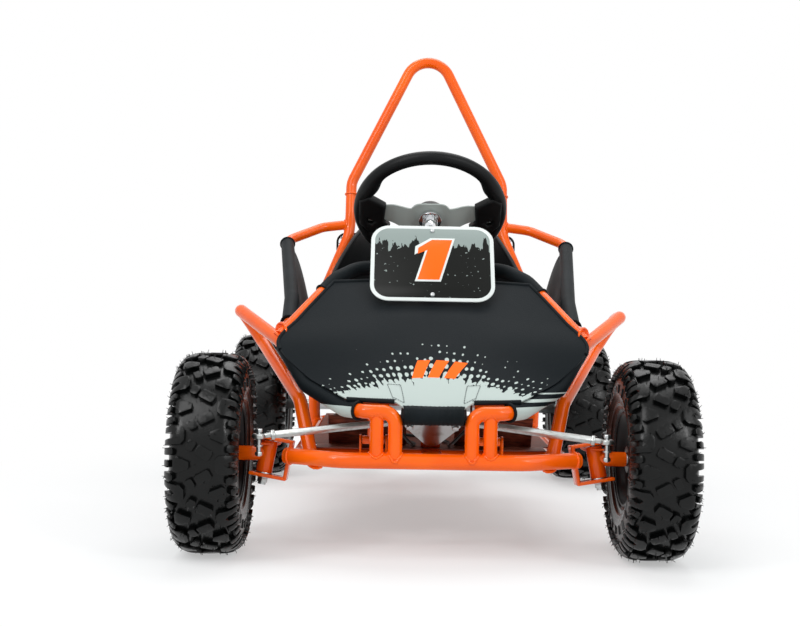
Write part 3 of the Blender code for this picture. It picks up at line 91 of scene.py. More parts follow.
def applied(obj):
    """The object as a mesh, with its modifiers and its place in its points."""
    lone(obj)
    bpy.ops.object.convert(target="MESH")
    bpy.ops.object.transform_apply(location=True, rotation=True, scale=True)
    return bpy.context.object


def cleaned(obj):
    """Merges doubled points and turns the faces outwards."""
    lone(obj)
    bpy.ops.object.mode_set(mode="EDIT")
    bpy.ops.mesh.select_all(action="SELECT")
    bpy.ops.mesh.remove_doubles(threshold=0.00001)
    bpy.ops.mesh.normals_make_consistent(inside=False)
    bpy.ops.object.mode_set(mode="OBJECT")
    return obj


def eased(obj, width, segments=2):
    """Rounds the sharp edges."""
    if width:
        bevel = obj.modifiers.new("edge", "BEVEL")
        bevel.width = width
        bevel.segments = segments
        bevel.limit_method = "ANGLE"
        bevel.angle_limit = math.radians(32)
    return applied(obj)


def linked(data, matrix=None):
    """A new object in the scene that holds this data."""
    obj = bpy.data.objects.new(data.name, data)
    bpy.context.scene.collection.objects.link(obj)
    if matrix is not None:
        obj.matrix_world = matrix
    return obj


def copied(obj, matrix=None):
    made = linked(obj.data.copy())
    if matrix is not None:
        made.data.transform(matrix)
        if matrix.determinant() < 0:
            made.data.flip_normals()
    return made


def coated(obj, coat):
    obj.data.materials.clear()
    obj.data.materials.append(coat)
    return obj


def merged(parts):
    """The parts joined into the first one."""
    lone(parts[0])
    for part in parts[1:]:
        part.select_set(True)
    if len(parts) > 1:
        bpy.ops.object.join()
    return parts[0]


def piece(name, parts, coat, body="frame", nodes=(), angle=38):
    """Joins parts into one named piece that rides on a body, in place of CAD nodes."""
    for part in parts:
        if not part.data.materials:
            part.data.materials.append(coat)
    obj = lone(merged(parts))
    bpy.ops.object.shade_smooth_by_angle(angle=math.radians(angle))
    obj.name = name
    obj.data.name = name
    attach(obj, body)
    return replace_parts(obj, *nodes) if nodes else obj


# Shapes


def matrix_of(origin, along, side=None):
    """A matrix at origin whose local Z runs along, and local X as near side as it can."""
    z = Vector(along).normalized()
    guess = Vector(side) if side else (ACROSS if abs(z.x) < 0.9 else -UP)
    x = (guess - guess.dot(z) * z).normalized()
    made = Matrix((x, z.cross(x), z)).transposed().to_4x4()
    made.translation = origin
    return made


def shifted(matrix, x=0.0, y=0.0, z=0.0):
    return matrix @ Matrix.Translation((x, y, z))


def bar(start, end, radius, sides=28, tip=None, edge=0.0008):
    """A round bar, cone or nut from start to end."""
    start = Vector(start)
    end = Vector(end)
    matrix = matrix_of((start + end) / 2, end - start)
    bpy.ops.mesh.primitive_cone_add(
        vertices=sides, radius1=radius, radius2=radius if tip is None else tip, depth=(end - start).length,
        location=matrix.translation, rotation=matrix.to_euler()
    )
    return eased(bpy.context.object, edge)


def stack(origin, along, rows):
    """Bars on one line. A row is where one starts and ends, its radius, sides, tip and edge."""
    return [bar(origin + along * a, origin + along * b, *more) for a, b, *more in rows]


def block(size, matrix, edge=0.001, segments=2):
    """A block with rounded edges, centred on matrix."""
    bpy.ops.mesh.primitive_cube_add(size=1, location=matrix.translation, rotation=matrix.to_euler())
    obj = bpy.context.object
    obj.scale = size
    bpy.ops.object.transform_apply(location=False, rotation=False, scale=True)
    return eased(obj, edge, segments)


def turned(profile, matrix, steps=48, ring=False, edge=0.0, turn=math.tau):
    """A profile of (radius, height) spun about local Z."""
    data = bpy.data.meshes.new("turned")
    corners = [(r, 0, z) for r, z in profile]
    lines = [(i, i + 1) for i in range(len(corners) - 1)]
    if ring:
        lines.append((len(corners) - 1, 0))
    data.from_pydata(corners, lines, [])
    obj = linked(data, matrix)
    spin = obj.modifiers.new("spin", "SCREW")
    spin.angle = turn
    spin.steps = steps
    spin.render_steps = steps
    spin.use_merge_vertices = True
    spin.merge_threshold = 0.00001
    return eased(cleaned(applied(obj)), edge)


def bush(outer, inner, half, matrix, steps=48):
    """A short open sleeve centred on matrix."""
    profile = [(outer, half), (outer, -half), (inner, -half), (inner, half)]
    return turned(profile, matrix, steps, ring=True, edge=0.0008)


def flat(outline, thickness, matrix, edge=0.0006, holes=(), resolution=1):
    """A flat outline with holes, given half its thickness each way along local Z."""
    data = bpy.data.curves.new("flat", "CURVE")
    data.dimensions = "2D"
    data.fill_mode = "BOTH"
    data.extrude = thickness / 2 - edge
    data.bevel_depth = edge
    data.bevel_resolution = resolution
    data.offset = -edge
    for line in (outline, *holes):
        spline = data.splines.new("POLY")
        spline.points.add(len(line) - 1)
        for point, (x, y) in zip(spline.points, line):
            point.co = (x, y, 0, 1)
        spline.use_cyclic_u = True
    return cleaned(applied(linked(data, matrix)))


def rope(path, width, resolution=8, closed=False, swell=None):
    """A tube along path. swell gives each point's share of the width."""
    data = bpy.data.curves.new("tube", "CURVE")
    data.dimensions = "3D"
    data.bevel_depth = width / 2
    data.bevel_resolution = resolution
    data.use_fill_caps = not closed
    spline = data.splines.new("POLY")
    spline.points.add(len(path) - 1)
    for number, point in enumerate(spline.points):
        point.co = (*path[number], 1)
        if swell:
            point.radius = swell(number)
    spline.use_cyclic_u = closed
    return cleaned(applied(linked(data)))


def rounded(points, radius, step=math.radians(7)):
    """The polyline with each inner corner replaced by an arc."""
    points = [Vector(p) for p in points]
    path = [points[0]]
    for before, corner, after in zip(points, points[1:], points[2:]):
        back = before - corner
        ahead = after - corner
        half = back.angle(ahead) / 2
        reach = min(radius / math.tan(half), 0.45 * back.length, 0.45 * ahead.length)
        size = reach * math.tan(half)
        centre = corner + (back.normalized() + ahead.normalized()).normalized() * size / math.sin(half)
        first = (corner + back.normalized() * reach - centre).normalized()
        last = (corner + ahead.normalized() * reach - centre).normalized()
        count = max(2, math.ceil((math.pi - 2 * half) / step))
        path += [centre + first.slerp(last, i / count) * size for i in range(count + 1)]
    path.append(points[-1])
    return path


def step_of(values, share):
    """Which step of a list a share of its length falls in, and how far into it."""
    place = min(max(share, 0), 1) * (len(values) - 1)
    first = min(int(place), len(values) - 2)
    return first, place - first


def eased_value(values, share):
    """The value a share of the way along a list, on a smooth curve through it."""
    first, t = step_of(values, share)
    b = values[first]
    c = values[first + 1]
    a = values[first - 1] if first else [2 * p - q for p, q in zip(b, c)]
    d = values[first + 2] if first + 2 < len(values) else [2 * q - p for p, q in zip(b, c)]
    return [
        0.5 * (2 * q + (r - p) * t + (2 * p - 5 * q + 4 * r - s) * t**2 + (3 * q - p - 3 * r + s) * t**3)
        for p, q, r, s in zip(a, b, c, d)
    ]


def smooth_route(points, count):
    total = (len(points) - 1) * count
    return [Vector(eased_value(points, i / total)) for i in range(total + 1)]


def circle(radius, count, centre=(0, 0), start=0.0):
    turns = [start + math.tau * i / count for i in range(count)]
    return [(centre[0] + radius * math.cos(t), centre[1] + radius * math.sin(t)) for t in turns]


def there_and_back(half, x=1, y=1):
    """A line, and then its mirror image from its end back to its start."""
    return [*half, *((x * a, y * b) for a, b in half[::-1])]


def arc(centre, radius, start, end, count):
    turns = [start + (end - start) * i / count for i in range(count + 1)]
    return [(centre[0] + radius * math.cos(t), centre[1] + radius * math.sin(t)) for t in turns]


def surface(columns, rows, where, thickness, offset=0.0):
    """A sheet whose point at (u, w), both from 0 to 1, is where(u, w), with a UV map in u and w."""
    bpy.ops.mesh.primitive_grid_add(
        x_subdivisions=columns, y_subdivisions=rows, size=1, calc_uvs=True, location=(0, 0, 0)
    )
    obj = bpy.context.object
    layer = obj.data.uv_layers.active
    for loop in obj.data.loops:
        place = obj.data.vertices[loop.vertex_index].co
        layer.data[loop.index].uv = (place.x + 0.5, place.y + 0.5)
    for vertex in obj.data.vertices:
        vertex.co = where(vertex.co.x + 0.5, vertex.co.y + 0.5)
    wall = obj.modifiers.new("thickness", "SOLIDIFY")
    wall.thickness = thickness
    wall.offset = offset
    return applied(obj)


def sliced(obj, heading, reach, step):
    """Cuts a mesh across a heading every step, so that it can bend."""
    shape = bmesh.new()
    shape.from_mesh(obj.data)
    count = int(reach / step)
    for i in range(-count, count + 1):
        geometry = shape.verts[:] + shape.edges[:] + shape.faces[:]
        bmesh.ops.bisect_plane(
            shape, geom=geometry, plane_co=heading * step * i, plane_no=heading, dist=0.00002
        )
    shape.to_mesh(obj.data)
    shape.free()
    return obj


def heading_of(matrix):
    """The way a matrix's local Z points."""
    return matrix.to_3x3() @ UP


def mirrored(points, side):
    return [at(side * x, y, z) for x, y, z in points]


# Finishes


def linear(colour):
    """An sRGB hex colour as linear light."""
    parts = [int(colour[i : i + 2], 16) / 255 for i in (0, 2, 4)]
    return (*[c / 12.92 if c <= 0.04045 else ((c + 0.055) / 1.055) ** 2.4 for c in parts], 1)


def add(tree, kind, inputs=(), **settings):
    """Adds a shader node with its settings, and values or links on its inputs."""
    made = tree.nodes.new(f"ShaderNode{kind}")
    for key, value in settings.items():
        setattr(made, key, value)
    for key, value in dict(inputs).items():
        if isinstance(value, bpy.types.NodeSocket):
            tree.links.new(value, made.inputs[key])
        else:
            made.inputs[key].default_value = value
    return made


def maths(tree, operation, a, b=0.0, c=0.0):
    return add(tree, "Math", {0: a, 1: b, 2: c}, operation=operation).outputs[0]


def mapped(tree, place, **inputs):
    return add(tree, "Mapping", {"Vector": place, **inputs}).outputs[0]


def noise(tree, place, scale, detail):
    return add(tree, "TexNoise", {"Vector": place, "Scale": scale, "Detail": detail}).outputs["Fac"]


def mixed(tree, share, first, second):
    """Two colours, each a value or a link, mixed by a share of the second."""
    return add(tree, "Mix", {0: share, 6: first, 7: second}, data_type="RGBA").outputs[2]


def pattern(tree, size, detail=3.0, stretch=(1, 1, 1)):
    """Noise whose features are about size across, in metres."""
    place = add(tree, "TexCoord").outputs["Object"]
    return noise(tree, mapped(tree, place, Scale=stretch), 1 / size, detail)


def finish(
    name, slot, colour, roughness, metallic=0.0, specular=0.5, coat=0.0, shades=None, gloss=None, grain=None
):
    """A material whose colour, gloss and relief can each follow a noise.

    shades is dark, light and where each is reached, gloss is the lowest and highest roughness, and
    grain is distance and strength of the relief. Each ends with what pattern() takes.
    """
    made = bpy.data.materials.new(name)
    made.use_nodes = True
    made[SLOT] = slot
    tree = made.node_tree
    shader = tree.nodes["Principled BSDF"]
    for key, value in (
        ("Base Color", linear(colour)), ("Roughness", roughness), ("Metallic", metallic),
        ("Specular IOR Level", specular), ("Coat Weight", coat)
    ):
        shader.inputs[key].default_value = value
    if shades:
        dark, light, low, high, *field = shades
        ramp = add(tree, "ValToRGB", {"Fac": pattern(tree, *field)})
        for stop, position, tone in zip(ramp.color_ramp.elements, (low, high), (dark, light)):
            stop.position = position
            stop.color = linear(tone)
        tree.links.new(ramp.outputs["Color"], shader.inputs["Base Color"])
    if gloss:
        low, high, *field = gloss
        spread = add(tree, "MapRange", {"Value": pattern(tree, *field), "To Min": low, "To Max": high})
        tree.links.new(spread.outputs["Result"], shader.inputs["Roughness"])
    if grain:
        distance, strength, *field = grain
        height = pattern(tree, *field)
        bump = add(tree, "Bump", {"Height": height, "Distance": distance, "Strength": strength})
        tree.links.new(bump.outputs["Normal"], shader.inputs["Normal"])
    return made


def moulded_plastic(name, colour, roughness):
    """Injection-moulded plastic with a fine leather texture."""
    return finish(
        name, "black_plastic", colour, roughness, specular=0.25,
        gloss=(roughness - 0.06, roughness + 0.08, 0.04), grain=(0.00025, 0.6, 0.002, 2.0)
    )


def plated_steel(name, colour, roughness, brush=(1, 1, 1), grime="8E8B84"):
    """Zinc-plated or machined steel: metal with soft cloudy plating."""
    return finish(
        name, "zinc_steel", colour, roughness, 1.0, shades=(grime, colour, 0.25, 0.5, 0.02, 5.0, brush),
        gloss=(roughness - 0.07, roughness + 0.1, 0.008, 4.0, brush)
    )


def cast_metal(name, slot, colour, roughness, metallic):
    """Sand or die cast metal: an even pebble grain."""
    return finish(
        name, slot, colour, roughness, metallic,
        gloss=(roughness - 0.08, roughness + 0.1, 0.015), grain=(0.0003, 0.7, 0.0016, 2.0)
    )


NOSE_WIDE = 0.56
NOSE_LONG = 0.36
CLOTH_BLACK = "12171A"
CLOTH_GRAIN = (0.0004, 0.6, 0.0024)


def nose_print():
    """The same cloth, printed: a light grey field with a brushed edge, dots and three slanted bars."""
    made = finish(
        "printed_vinyl_cloth", "black_fabric", CLOTH_BLACK, 0.55, specular=0.07, grain=CLOTH_GRAIN
    )
    tree = made.node_tree
    sized = mapped(tree, add(tree, "TexCoord").outputs["UV"], Scale=(NOSE_WIDE, NOSE_LONG, 1))
    split = add(tree, "SeparateXYZ", {"Vector": sized})
    across = maths(tree, "SUBTRACT", split.outputs["X"], NOSE_WIDE / 2)
    up = split.outputs["Y"]
    away = maths(tree, "ABSOLUTE", across)
    strokes = noise(tree, mapped(tree, sized, Rotation=(0, 0, 0.6), Scale=(1, 0.12, 1)), 90.0, 3.0)
    edge_at = maths(tree, "MULTIPLY_ADD", strokes, 0.085, 0.034)
    edge_at = maths(tree, "SUBTRACT", edge_at, maths(tree, "MULTIPLY", away, 0.10))
    field = maths(tree, "LESS_THAN", up, edge_at)
    cells = add(tree, "TexVoronoi", {"Vector": sized, "Scale": 62.0, "Randomness": 0.25})
    fade = maths(tree, "SUBTRACT", up, edge_at)
    size = maths(tree, "MULTIPLY_ADD", fade, -4.2, 0.44)
    size = maths(tree, "SUBTRACT", size, maths(tree, "MULTIPLY", away, 0.55))
    spots = maths(tree, "LESS_THAN", cells.outputs["Distance"], size)
    grey = maths(tree, "MAXIMUM", field, spots)
    leaned = maths(tree, "MULTIPLY_ADD", up, -0.55, across)
    along = maths(tree, "ADD", leaned, 0.083)
    bars = maths(tree, "LESS_THAN", maths(tree, "PINGPONG", along, 0.021), 0.0145)
    off_middle = maths(tree, "ABSOLUTE", maths(tree, "ADD", leaned, 0.041))
    for limit in (
        maths(tree, "GREATER_THAN", up, 0.072), maths(tree, "LESS_THAN", up, 0.112),
        maths(tree, "LESS_THAN", off_middle, 0.063)
    ):
        bars = maths(tree, "MULTIPLY", bars, limit)
    cloth = mixed(tree, grey, linear(CLOTH_BLACK), linear("B4C0BC"))
    print_over = mixed(tree, bars, cloth, linear("FF6A1E"))
    tree.links.new(print_over, tree.nodes["Principled BSDF"].inputs["Base Color"])
    return made


PLATE_WIDE = 0.236
PLATE_HIGH = 0.177


def plate_print():
    """Gloss-laminated plastic: black, with a light grey torn band below its top edge."""
    made = finish("laminated_plate_print", "printed_plastic", "111311", 0.3, specular=0.15)
    tree = made.node_tree
    place = add(tree, "TexCoord").outputs["UV"]
    split = add(tree, "SeparateXYZ", {"Vector": place})
    runs = noise(tree, mapped(tree, place, Scale=(1, 0.22, 1)), 75.0, 4.0)
    edge_at = maths(tree, "MULTIPLY_ADD", runs, -0.12, 0.105)
    band = maths(tree, "GREATER_THAN", split.outputs["Y"], edge_at)
    flecks = maths(tree, "GREATER_THAN", noise(tree, place, 130.0, 2.0), 0.70)
    grey = mixed(tree, maths(tree, "MAXIMUM", band, flecks), linear("0D0F0D"), linear("8B9794"))
    tree.links.new(grey, tree.nodes["Principled BSDF"].inputs["Base Color"])
    return made


def plain(name, slot, colour, roughness, metallic=0.0, specular=0.5):
    """An even finish whose gloss varies a little from place to place."""
    gloss = (max(roughness - 0.05, 0.02), roughness + 0.07, 0.03)
    return finish(name, slot, colour, roughness, metallic, specular, gloss=gloss)


# Powder coat baked on steel, with a faint orange peel
POWDER = finish(
    "orange_powder_coat", "orange_powder_coat", "FF6A10", 0.2, specular=0.22, coat=0.16,
    shades=("E85604", "FA660A", 0.3, 0.7, 0.09), gloss=(0.14, 0.24, 0.03), grain=(0.00035, 0.35, 0.0035, 1.0)
)

# The same coat on the rolled floor, its colour darkened all over as painted shade for the shade under the
# nose fairing, with a duller gloss and drawn streaks
STREAKS = (0.012, 4.0, (0.6, 6, 1))
SHADE_DARKENED_FLOOR_COAT = finish(
    "shade_darkened_floor_coat", "orange_powder_coat", "6E3424", 0.5, specular=0.2,
    shades=("4A2A22", "8A4A36", 0.3, 0.7, *STREAKS), gloss=(0.4, 0.6, *STREAKS), grain=(0.0004, 0.6, *STREAKS)
)

# Moulded rubber: near black, a low sheen on the lugs and a fine mould grain
RUBBER = finish(
    "moulded_tyre_rubber", "tyre_rubber", "040504", 0.26, specular=0.24,
    shades=("030404", "090A0A", 0.35, 0.65, 0.025, 4.0), gloss=(0.15, 0.32, 0.012),
    grain=(0.0004, 0.5, 0.0022, 2.0)
)
# Darker, duller rubber for the carcass between the lugs: its darker colour is painted shade in the grooves
SHADE_DARKENED_GROOVE_RUBBER = plain("shade_darkened_groove_rubber", "tyre_rubber", "020202", 0.6, specular=0.1)

# Foam skin of the grip: soft black with a low broad sheen
FOAM = finish(
    "moulded_foam_grip", "grip_foam", "0B0D0E", 0.42, specular=0.15, gloss=(0.36, 0.48, 0.02),
    grain=(0.0002, 0.6, 0.0016, 2.0)
)

# Polyester cloth with a vinyl coat: dark and matt
CLOTH = finish(
    "vinyl_coated_cloth", "black_fabric", CLOTH_BLACK, 0.55, specular=0.07,
    shades=("0E1315", "161B1E", 0.35, 0.65, 0.05, 5.0), grain=CLOTH_GRAIN
)
NOSE_CLOTH = nose_print()
PLATE_FACE = plate_print()
PLATE_WHITE = plain("white_laminate", "printed_plastic", "D3DAD8", 0.35)
PLATE_ORANGE = plain("orange_laminate", "printed_plastic", "FF6508", 0.4, specular=0.2)
SEAT_PLASTIC = moulded_plastic("seat_polyethylene", "0E1011", 0.42)
BLACK_PLASTIC = moulded_plastic("black_polypropylene", "0D0E0F", 0.4)
HOSE_PLASTIC = plain("cable_sheath", "black_plastic", "0C0D0D", 0.36, specular=0.3)
RIM_PAINT = plain("baked_black_enamel", "black_paint", "0A0A0B", 0.34, specular=0.25)
WIRE = plain("black_coated_wire", "black_wire", "0A0B0C", 0.45, specular=0.25)
SPOKE_GREY = plain("silver_enamel", "grip_foam", "A3ADA9", 0.42)
ZINC = plated_steel("zinc_plated_steel", "B9BDBE", 0.3)
ROD_STEEL = plated_steel("drawn_zinc_rod", "B4B7B6", 0.34, brush=(1, 12, 12))
CHAIN_STEEL = plated_steel("oiled_chain_steel", "6F6C66", 0.34, grime="3A3834")
CHROME = plain("chrome_plate", "chrome_steel", "E4E6E8", 0.09, 1.0)
CAST = cast_metal("die_cast_aluminium", "cast_aluminium", "A9AEB1", 0.42, 1.0)
ENGINE_PAINT = cast_metal("black_engine_enamel", "engine_paint", "222425", 0.45, 0.0)
THREAD = plain("sewing_thread", "black_fabric", "3A4043", 0.7)


def plated(parts):
    """The parts, each with a zinc coat."""
    return [coated(part, ZINC) for part in parts]


def nut(origin, heading, reach, radius, back=0.0):
    """A zinc-plated six-sided head that stands reach out of a face."""
    return coated(bar(origin - heading * back, origin + heading * reach, radius, 6), ZINC)


# Tube sizes and routes of the frame, for the left side, as in the solids
MAIN_TUBE = 0.028
SIDE_TUBE = 0.025
HOOP_TUBE = 0.025
RAIL_TUBE = 0.022
SHEET = 0.002
FLOOR_H = -0.012
FLOOR_TOP = FLOOR_H + MAIN_TUBE / 2 + 0.0003
REAR_RAIL_H = 0.0375
REAR_RAIL_TOP = REAR_RAIL_H + MAIN_TUBE / 2
BEAM_FORWARD = 0.080
RAIL_HALF = 0.240
REAR_HALF = 0.168
HOOP_Y = 0.730
HOOP_HALF = 0.177
KINGPIN_X = FRONT_HUB.x - 0.095
KINGPIN_H = -0.0055
BRACKET_HIGH = 0.072
BRACKET_WIDE = 0.050
BRACKET_DEEP = 0.067
BRACKET_WALL = 0.006
BRACKET_BACK = 0.0425
STEER_ARM_H = 0.014
BALL = (KINGPIN_X + 0.009, -0.060, 0.0365)
PIVOT_X = 0.040
PIVOT_UP = 0.042
AXLE_BORE = 0.0128
DISC_X = -0.095
NOSE_Y = -BEAM_FORWARD - 0.002
NOSE_H = 0.0845
NOSE_INNER_X = 0.066
NOSE_POST_X = 0.098

BEAM = [(KINGPIN_X - 0.036, -0.028, 0), (0.160, -BEAM_FORWARD, 0)]
RAIL = [
    (0.205, -0.047, -0.004), (RAIL_HALF, 0.110, FLOOR_H), (RAIL_HALF, HOOP_Y - 0.030, FLOOR_H),
    (REAR_HALF, HOOP_Y + 0.020, FLOOR_H), (REAR_HALF, HOOP_Y + 0.085, REAR_RAIL_H),
    (REAR_HALF, WHEELBASE + 0.120, REAR_RAIL_H)
]
GUARD = [
    (0.2143, 0.000, FLOOR_H + 0.006), (0.240, 0.060, 0.0905), (0.328, 0.268, 0.184), (0.374, 0.314, 0.243),
    (0.372, 0.238, 0.249), (0.279, 0.080, 0.1965), (0.225, 0.008, 0.1225), (0.155, -0.050, 0.0865),
    (0.116, NOSE_Y, NOSE_H), (NOSE_INNER_X, NOSE_Y, NOSE_H), (NOSE_INNER_X, NOSE_Y, 0.005)
]
DASH = [
    (0.2800, 0.0870, 0.2050), (0.2180, 0.1650, 0.2765), (0.1850, 0.2080, 0.3140), (0.1400, 0.2500, 0.3375)
]
DASH_TOP = (0, 0.2550, 0.3375)
HOOP_FOOT = (HOOP_HALF, HOOP_Y + 0.0119, 0.5186)
HOOP = [HOOP_FOOT, (HOOP_HALF, HOOP_Y + 0.0186, 0.5463)]
HOOP_TOP = (0, HOOP_Y + 0.0650, 0.9061)
LEG = [
    HOOP_FOOT, (HOOP_HALF, HOOP_Y, 0.4700), (HOOP_HALF + 0.002, HOOP_Y - 0.004, 0.4250),
    (0.228, HOOP_Y - 0.075, 0.2975), (0.252, HOOP_Y - 0.105, 0.1525),
    (0.246, HOOP_Y - 0.115, FLOOR_H + 0.004)
]
ARM = [
    (HOOP_HALF + 0.004, HOOP_Y, 0.4470), (0.240, HOOP_Y - 0.012, 0.4390), (0.318, HOOP_Y - 0.074, 0.4040),
    (0.2775, 0.300, 0.2745), (0.2725, 0.180, 0.2245), (0.2785, 0.102, 0.2190)
]
COLUMN_RISE = math.radians(47.5)
COLUMN_UP = Vector((0, math.cos(COLUMN_RISE), math.sin(COLUMN_RISE)))
COLUMN_FACE = Vector((0, -math.sin(COLUMN_RISE), math.cos(COLUMN_RISE)))
COLUMN_FOOT = at(0, 0.020, 0.036)
COLUMN_LENGTH = 0.556
COLUMN_RADIUS = 0.010


def on_column(distance, across=0.0, up=0.0):
    return COLUMN_FOOT + COLUMN_UP * distance + ACROSS * across + COLUMN_FACE * up


def column_frame(distance):
    """Local Z up the column, local Y up its face."""
    return matrix_of(on_column(distance), COLUMN_UP, -ACROSS)


def kingpin_frame(side):
    """Local Z up the kingpin, local X outwards."""
    lean = Vector((-side * math.tan(math.radians(10)), math.tan(math.radians(6)), 1))
    return matrix_of(at(side * KINGPIN_X, 0, KINGPIN_H), lean, ACROSS * side)


def level_at(x, y, z):
    """A level matrix at a place."""
    return Matrix.Translation(at(x, y, z))


def upright_at(place):
    """Local X back, local Y up, local Z to the driver's left."""
    return Matrix.Translation(place) @ Matrix(((0, 0, 1), (1, 0, 0), (0, 1, 0))).to_4x4()


def both_sides(half, top=None):
    return [*mirrored(half, -1), *([at(*top)] if top else []), *mirrored(half[::-1], 1)]


BEAM_PATH = rounded(both_sides(BEAM), 0.08)
DASH_PATH = rounded(both_sides(DASH, DASH_TOP), 0.06)
HOOP_PATH = rounded(both_sides(HOOP, HOOP_TOP), 0.054)
RAIL_PATHS, GUARD_PATHS, LEG_PATHS, ARM_PATHS = (
    {side: rounded(mirrored(line, side), radius) for _, side in SIDES}
    for line, radius in ((RAIL, 0.06), (GUARD, 0.032), (LEG, 0.08), (ARM, 0.045))
)


# Welds

WELDS = []
BEAD = 0.0042


def ripple(number):
    """The overlapping scales of a hand-made weld bead."""
    return 1.0 + 0.22 * abs(math.sin(number * 0.75))


def weld(branch, heading, width, on, run, on_width):
    """A bead where a tube that leaves branch along heading comes out of the tube through on."""
    heading = Vector(heading).normalized()
    run = Vector(run).normalized()
    side = heading.orthogonal().normalized()
    other = heading.cross(side)
    slope = heading - heading.dot(run) * run
    points = []
    count = 56
    for i in range(count):
        t = math.tau * i / count
        start = branch + (side * math.cos(t) + other * math.sin(t)) * width / 2
        offset = start - on
        offset -= offset.dot(run) * run
        a = slope.dot(slope)
        b = 2 * offset.dot(slope)
        c = offset.dot(offset) - (on_width / 2) ** 2
        reach = (-b + math.sqrt(max(b * b - 4 * a * c, 0))) / (2 * a)
        points.append(start + heading * reach)
    WELDS.append(rope(points, BEAD, 2, True, ripple))


def ring_weld(centre, heading, width, bead=BEAD):
    """A bead round a tube, where it meets another end to end or a plate."""
    local = matrix_of(centre, heading)
    count = max(24, round(width * 2000))
    points = [local @ Vector((x, y, 0)) for x, y in circle(width / 2, count)]
    WELDS.append(rope(points, bead, 2, True, ripple))


def seam_weld(start, end, bead=BEAD):
    """A straight bead along a joint between a plate and a tube."""
    count = max(6, round((end - start).length / 0.0022))
    points = [start.lerp(end, i / count) for i in range(count + 1)]
    return rope(points, bead, 2, False, ripple)


def nearest(path, place):
    """The point of a path nearest to a place, and the path's heading there."""
    best = None
    for a, b in zip(path, path[1:]):
        along = b - a
        share = min(max((place - a).dot(along) / along.length_squared, 0), 1)
        point = a + along * share
        if best is None or (point - place).length < (best[0] - place).length:
            best = (point, along.normalized())
    return best


def stretch(path, start, end, count):
    """Points evenly spaced along an open path, between its places nearest to start and end."""
    reach = [0.0]
    for a, b in zip(path, path[1:]):
        reach.append(reach[-1] + (b - a).length)
    ends = []
    for place in (start, end):
        point = nearest(path, place)[0]
        gaps = [(a - point).length + (b - point).length - (b - a).length for a, b in zip(path, path[1:])]
        number = gaps.index(min(gaps))
        ends.append(reach[number] + (point - path[number]).length)
    points = []
    for i in range(count + 1):
        wanted = ends[0] + (ends[1] - ends[0]) * i / count
        number = max(n for n in range(len(path) - 1) if n == 0 or reach[n] <= wanted)
        share = (wanted - reach[number]) / (reach[number + 1] - reach[number])
        points.append(path[number].lerp(path[number + 1], share))
    return points


def length_of(path):
    return sum((b - a).length for a, b in zip(path, path[1:]))


def printed(obj, spot):
    """Gives a mesh one UV map, whose place for a vertex is spot(vertex's place)."""
    while obj.data.uv_layers:
        obj.data.uv_layers.remove(obj.data.uv_layers[0])
    layer = obj.data.uv_layers.new(name="UVMap")
    for loop in obj.data.loops:
        layer.data[loop.index].uv = spot(obj.data.vertices[loop.vertex_index].co)
    return obj


def collar(path, radius, width, inset=0.001):
    """A rolled hem round the first point of a path."""
    ring = matrix_of(path[0], path[1] - path[0])
    return rope([ring @ Vector((x, y, inset)) for x, y in circle(radius, 24)], width, 4, True)


def join_tubes(path, width, on_path, on_width, end=0):
    """Welds one end of a tube's path, its first or with -1 its last, onto the tube that runs by it."""
    start = path[0] if end == 0 else path[-1]
    ahead = path[1] if end == 0 else path[-2]
    point, run = nearest(on_path, start)
    weld(start, ahead - start, width, point, run, on_width)


# Frame


def frame_tubes():
    """Every bent tube of the frame, smooth, each in place of its node."""
    tubes = [("dash_hoop", "", DASH_PATH, SIDE_TUBE), ("roll_hoop", "", HOOP_PATH, HOOP_TUBE)]
    for name, side in SIDES:
        rail = (RAIL_PATHS[side], MAIN_TUBE)
        guard = (GUARD_PATHS[side], SIDE_TUBE)
        leg = (LEG_PATHS[side], HOOP_TUBE)
        arm = (ARM_PATHS[side], RAIL_TUBE)
        beam = (BEAM_PATH, MAIN_TUBE)
        dash = (DASH_PATH if side < 0 else DASH_PATH[::-1], SIDE_TUBE)
        for kind, tube in (("floor_rail", rail), ("side_guard", guard), ("hoop_leg", leg), ("arm_rail", arm)):
            tubes.append((kind, f"_{name}", *tube))
        for tube, onto, end in (
            (rail, beam, 0), (guard, rail, 0), (guard, beam, -1), (leg, rail, -1), (arm, leg, 0),
            (arm, guard, -1), (dash, guard, 0)
        ):
            join_tubes(*tube, *onto, end)
        ring_weld(at(side * HOOP_HALF, *HOOP_FOOT[1:]), (0, 0.0134, 0.0557), HOOP_TUBE + 0.001)
    for kind, ending, path, width in tubes:
        parts = [rope(path, width)]
        if kind == "dash_hoop":
            parts += dash_fittings()
        piece(f"{kind}_tube{ending}", parts, POWDER, nodes=(kind + ending,), angle=50)


def number_plate_frame():
    return matrix_of(at(0, 0.1705, 0.347), (0, -0.145, 0.101), ACROSS)


def dash_fittings():
    """Column bush on the dash hoop, and the strap and stem of the number plate."""
    crown = column_frame((at(*DASH_TOP) - COLUMN_FOOT).dot(COLUMN_UP))
    back = number_plate_frame()
    return [
        bush(0.0195, 0.0108, 0.014, crown), block((0.022, 0.020, 0.024), shifted(crown, y=0.020)),
        block((0.030, PLATE_HIGH - 0.030, 0.003), shifted(back, z=-0.0038)),
        bar(at(*DASH_TOP), back @ Vector((0, 0, -0.0055)), 0.009)
    ]


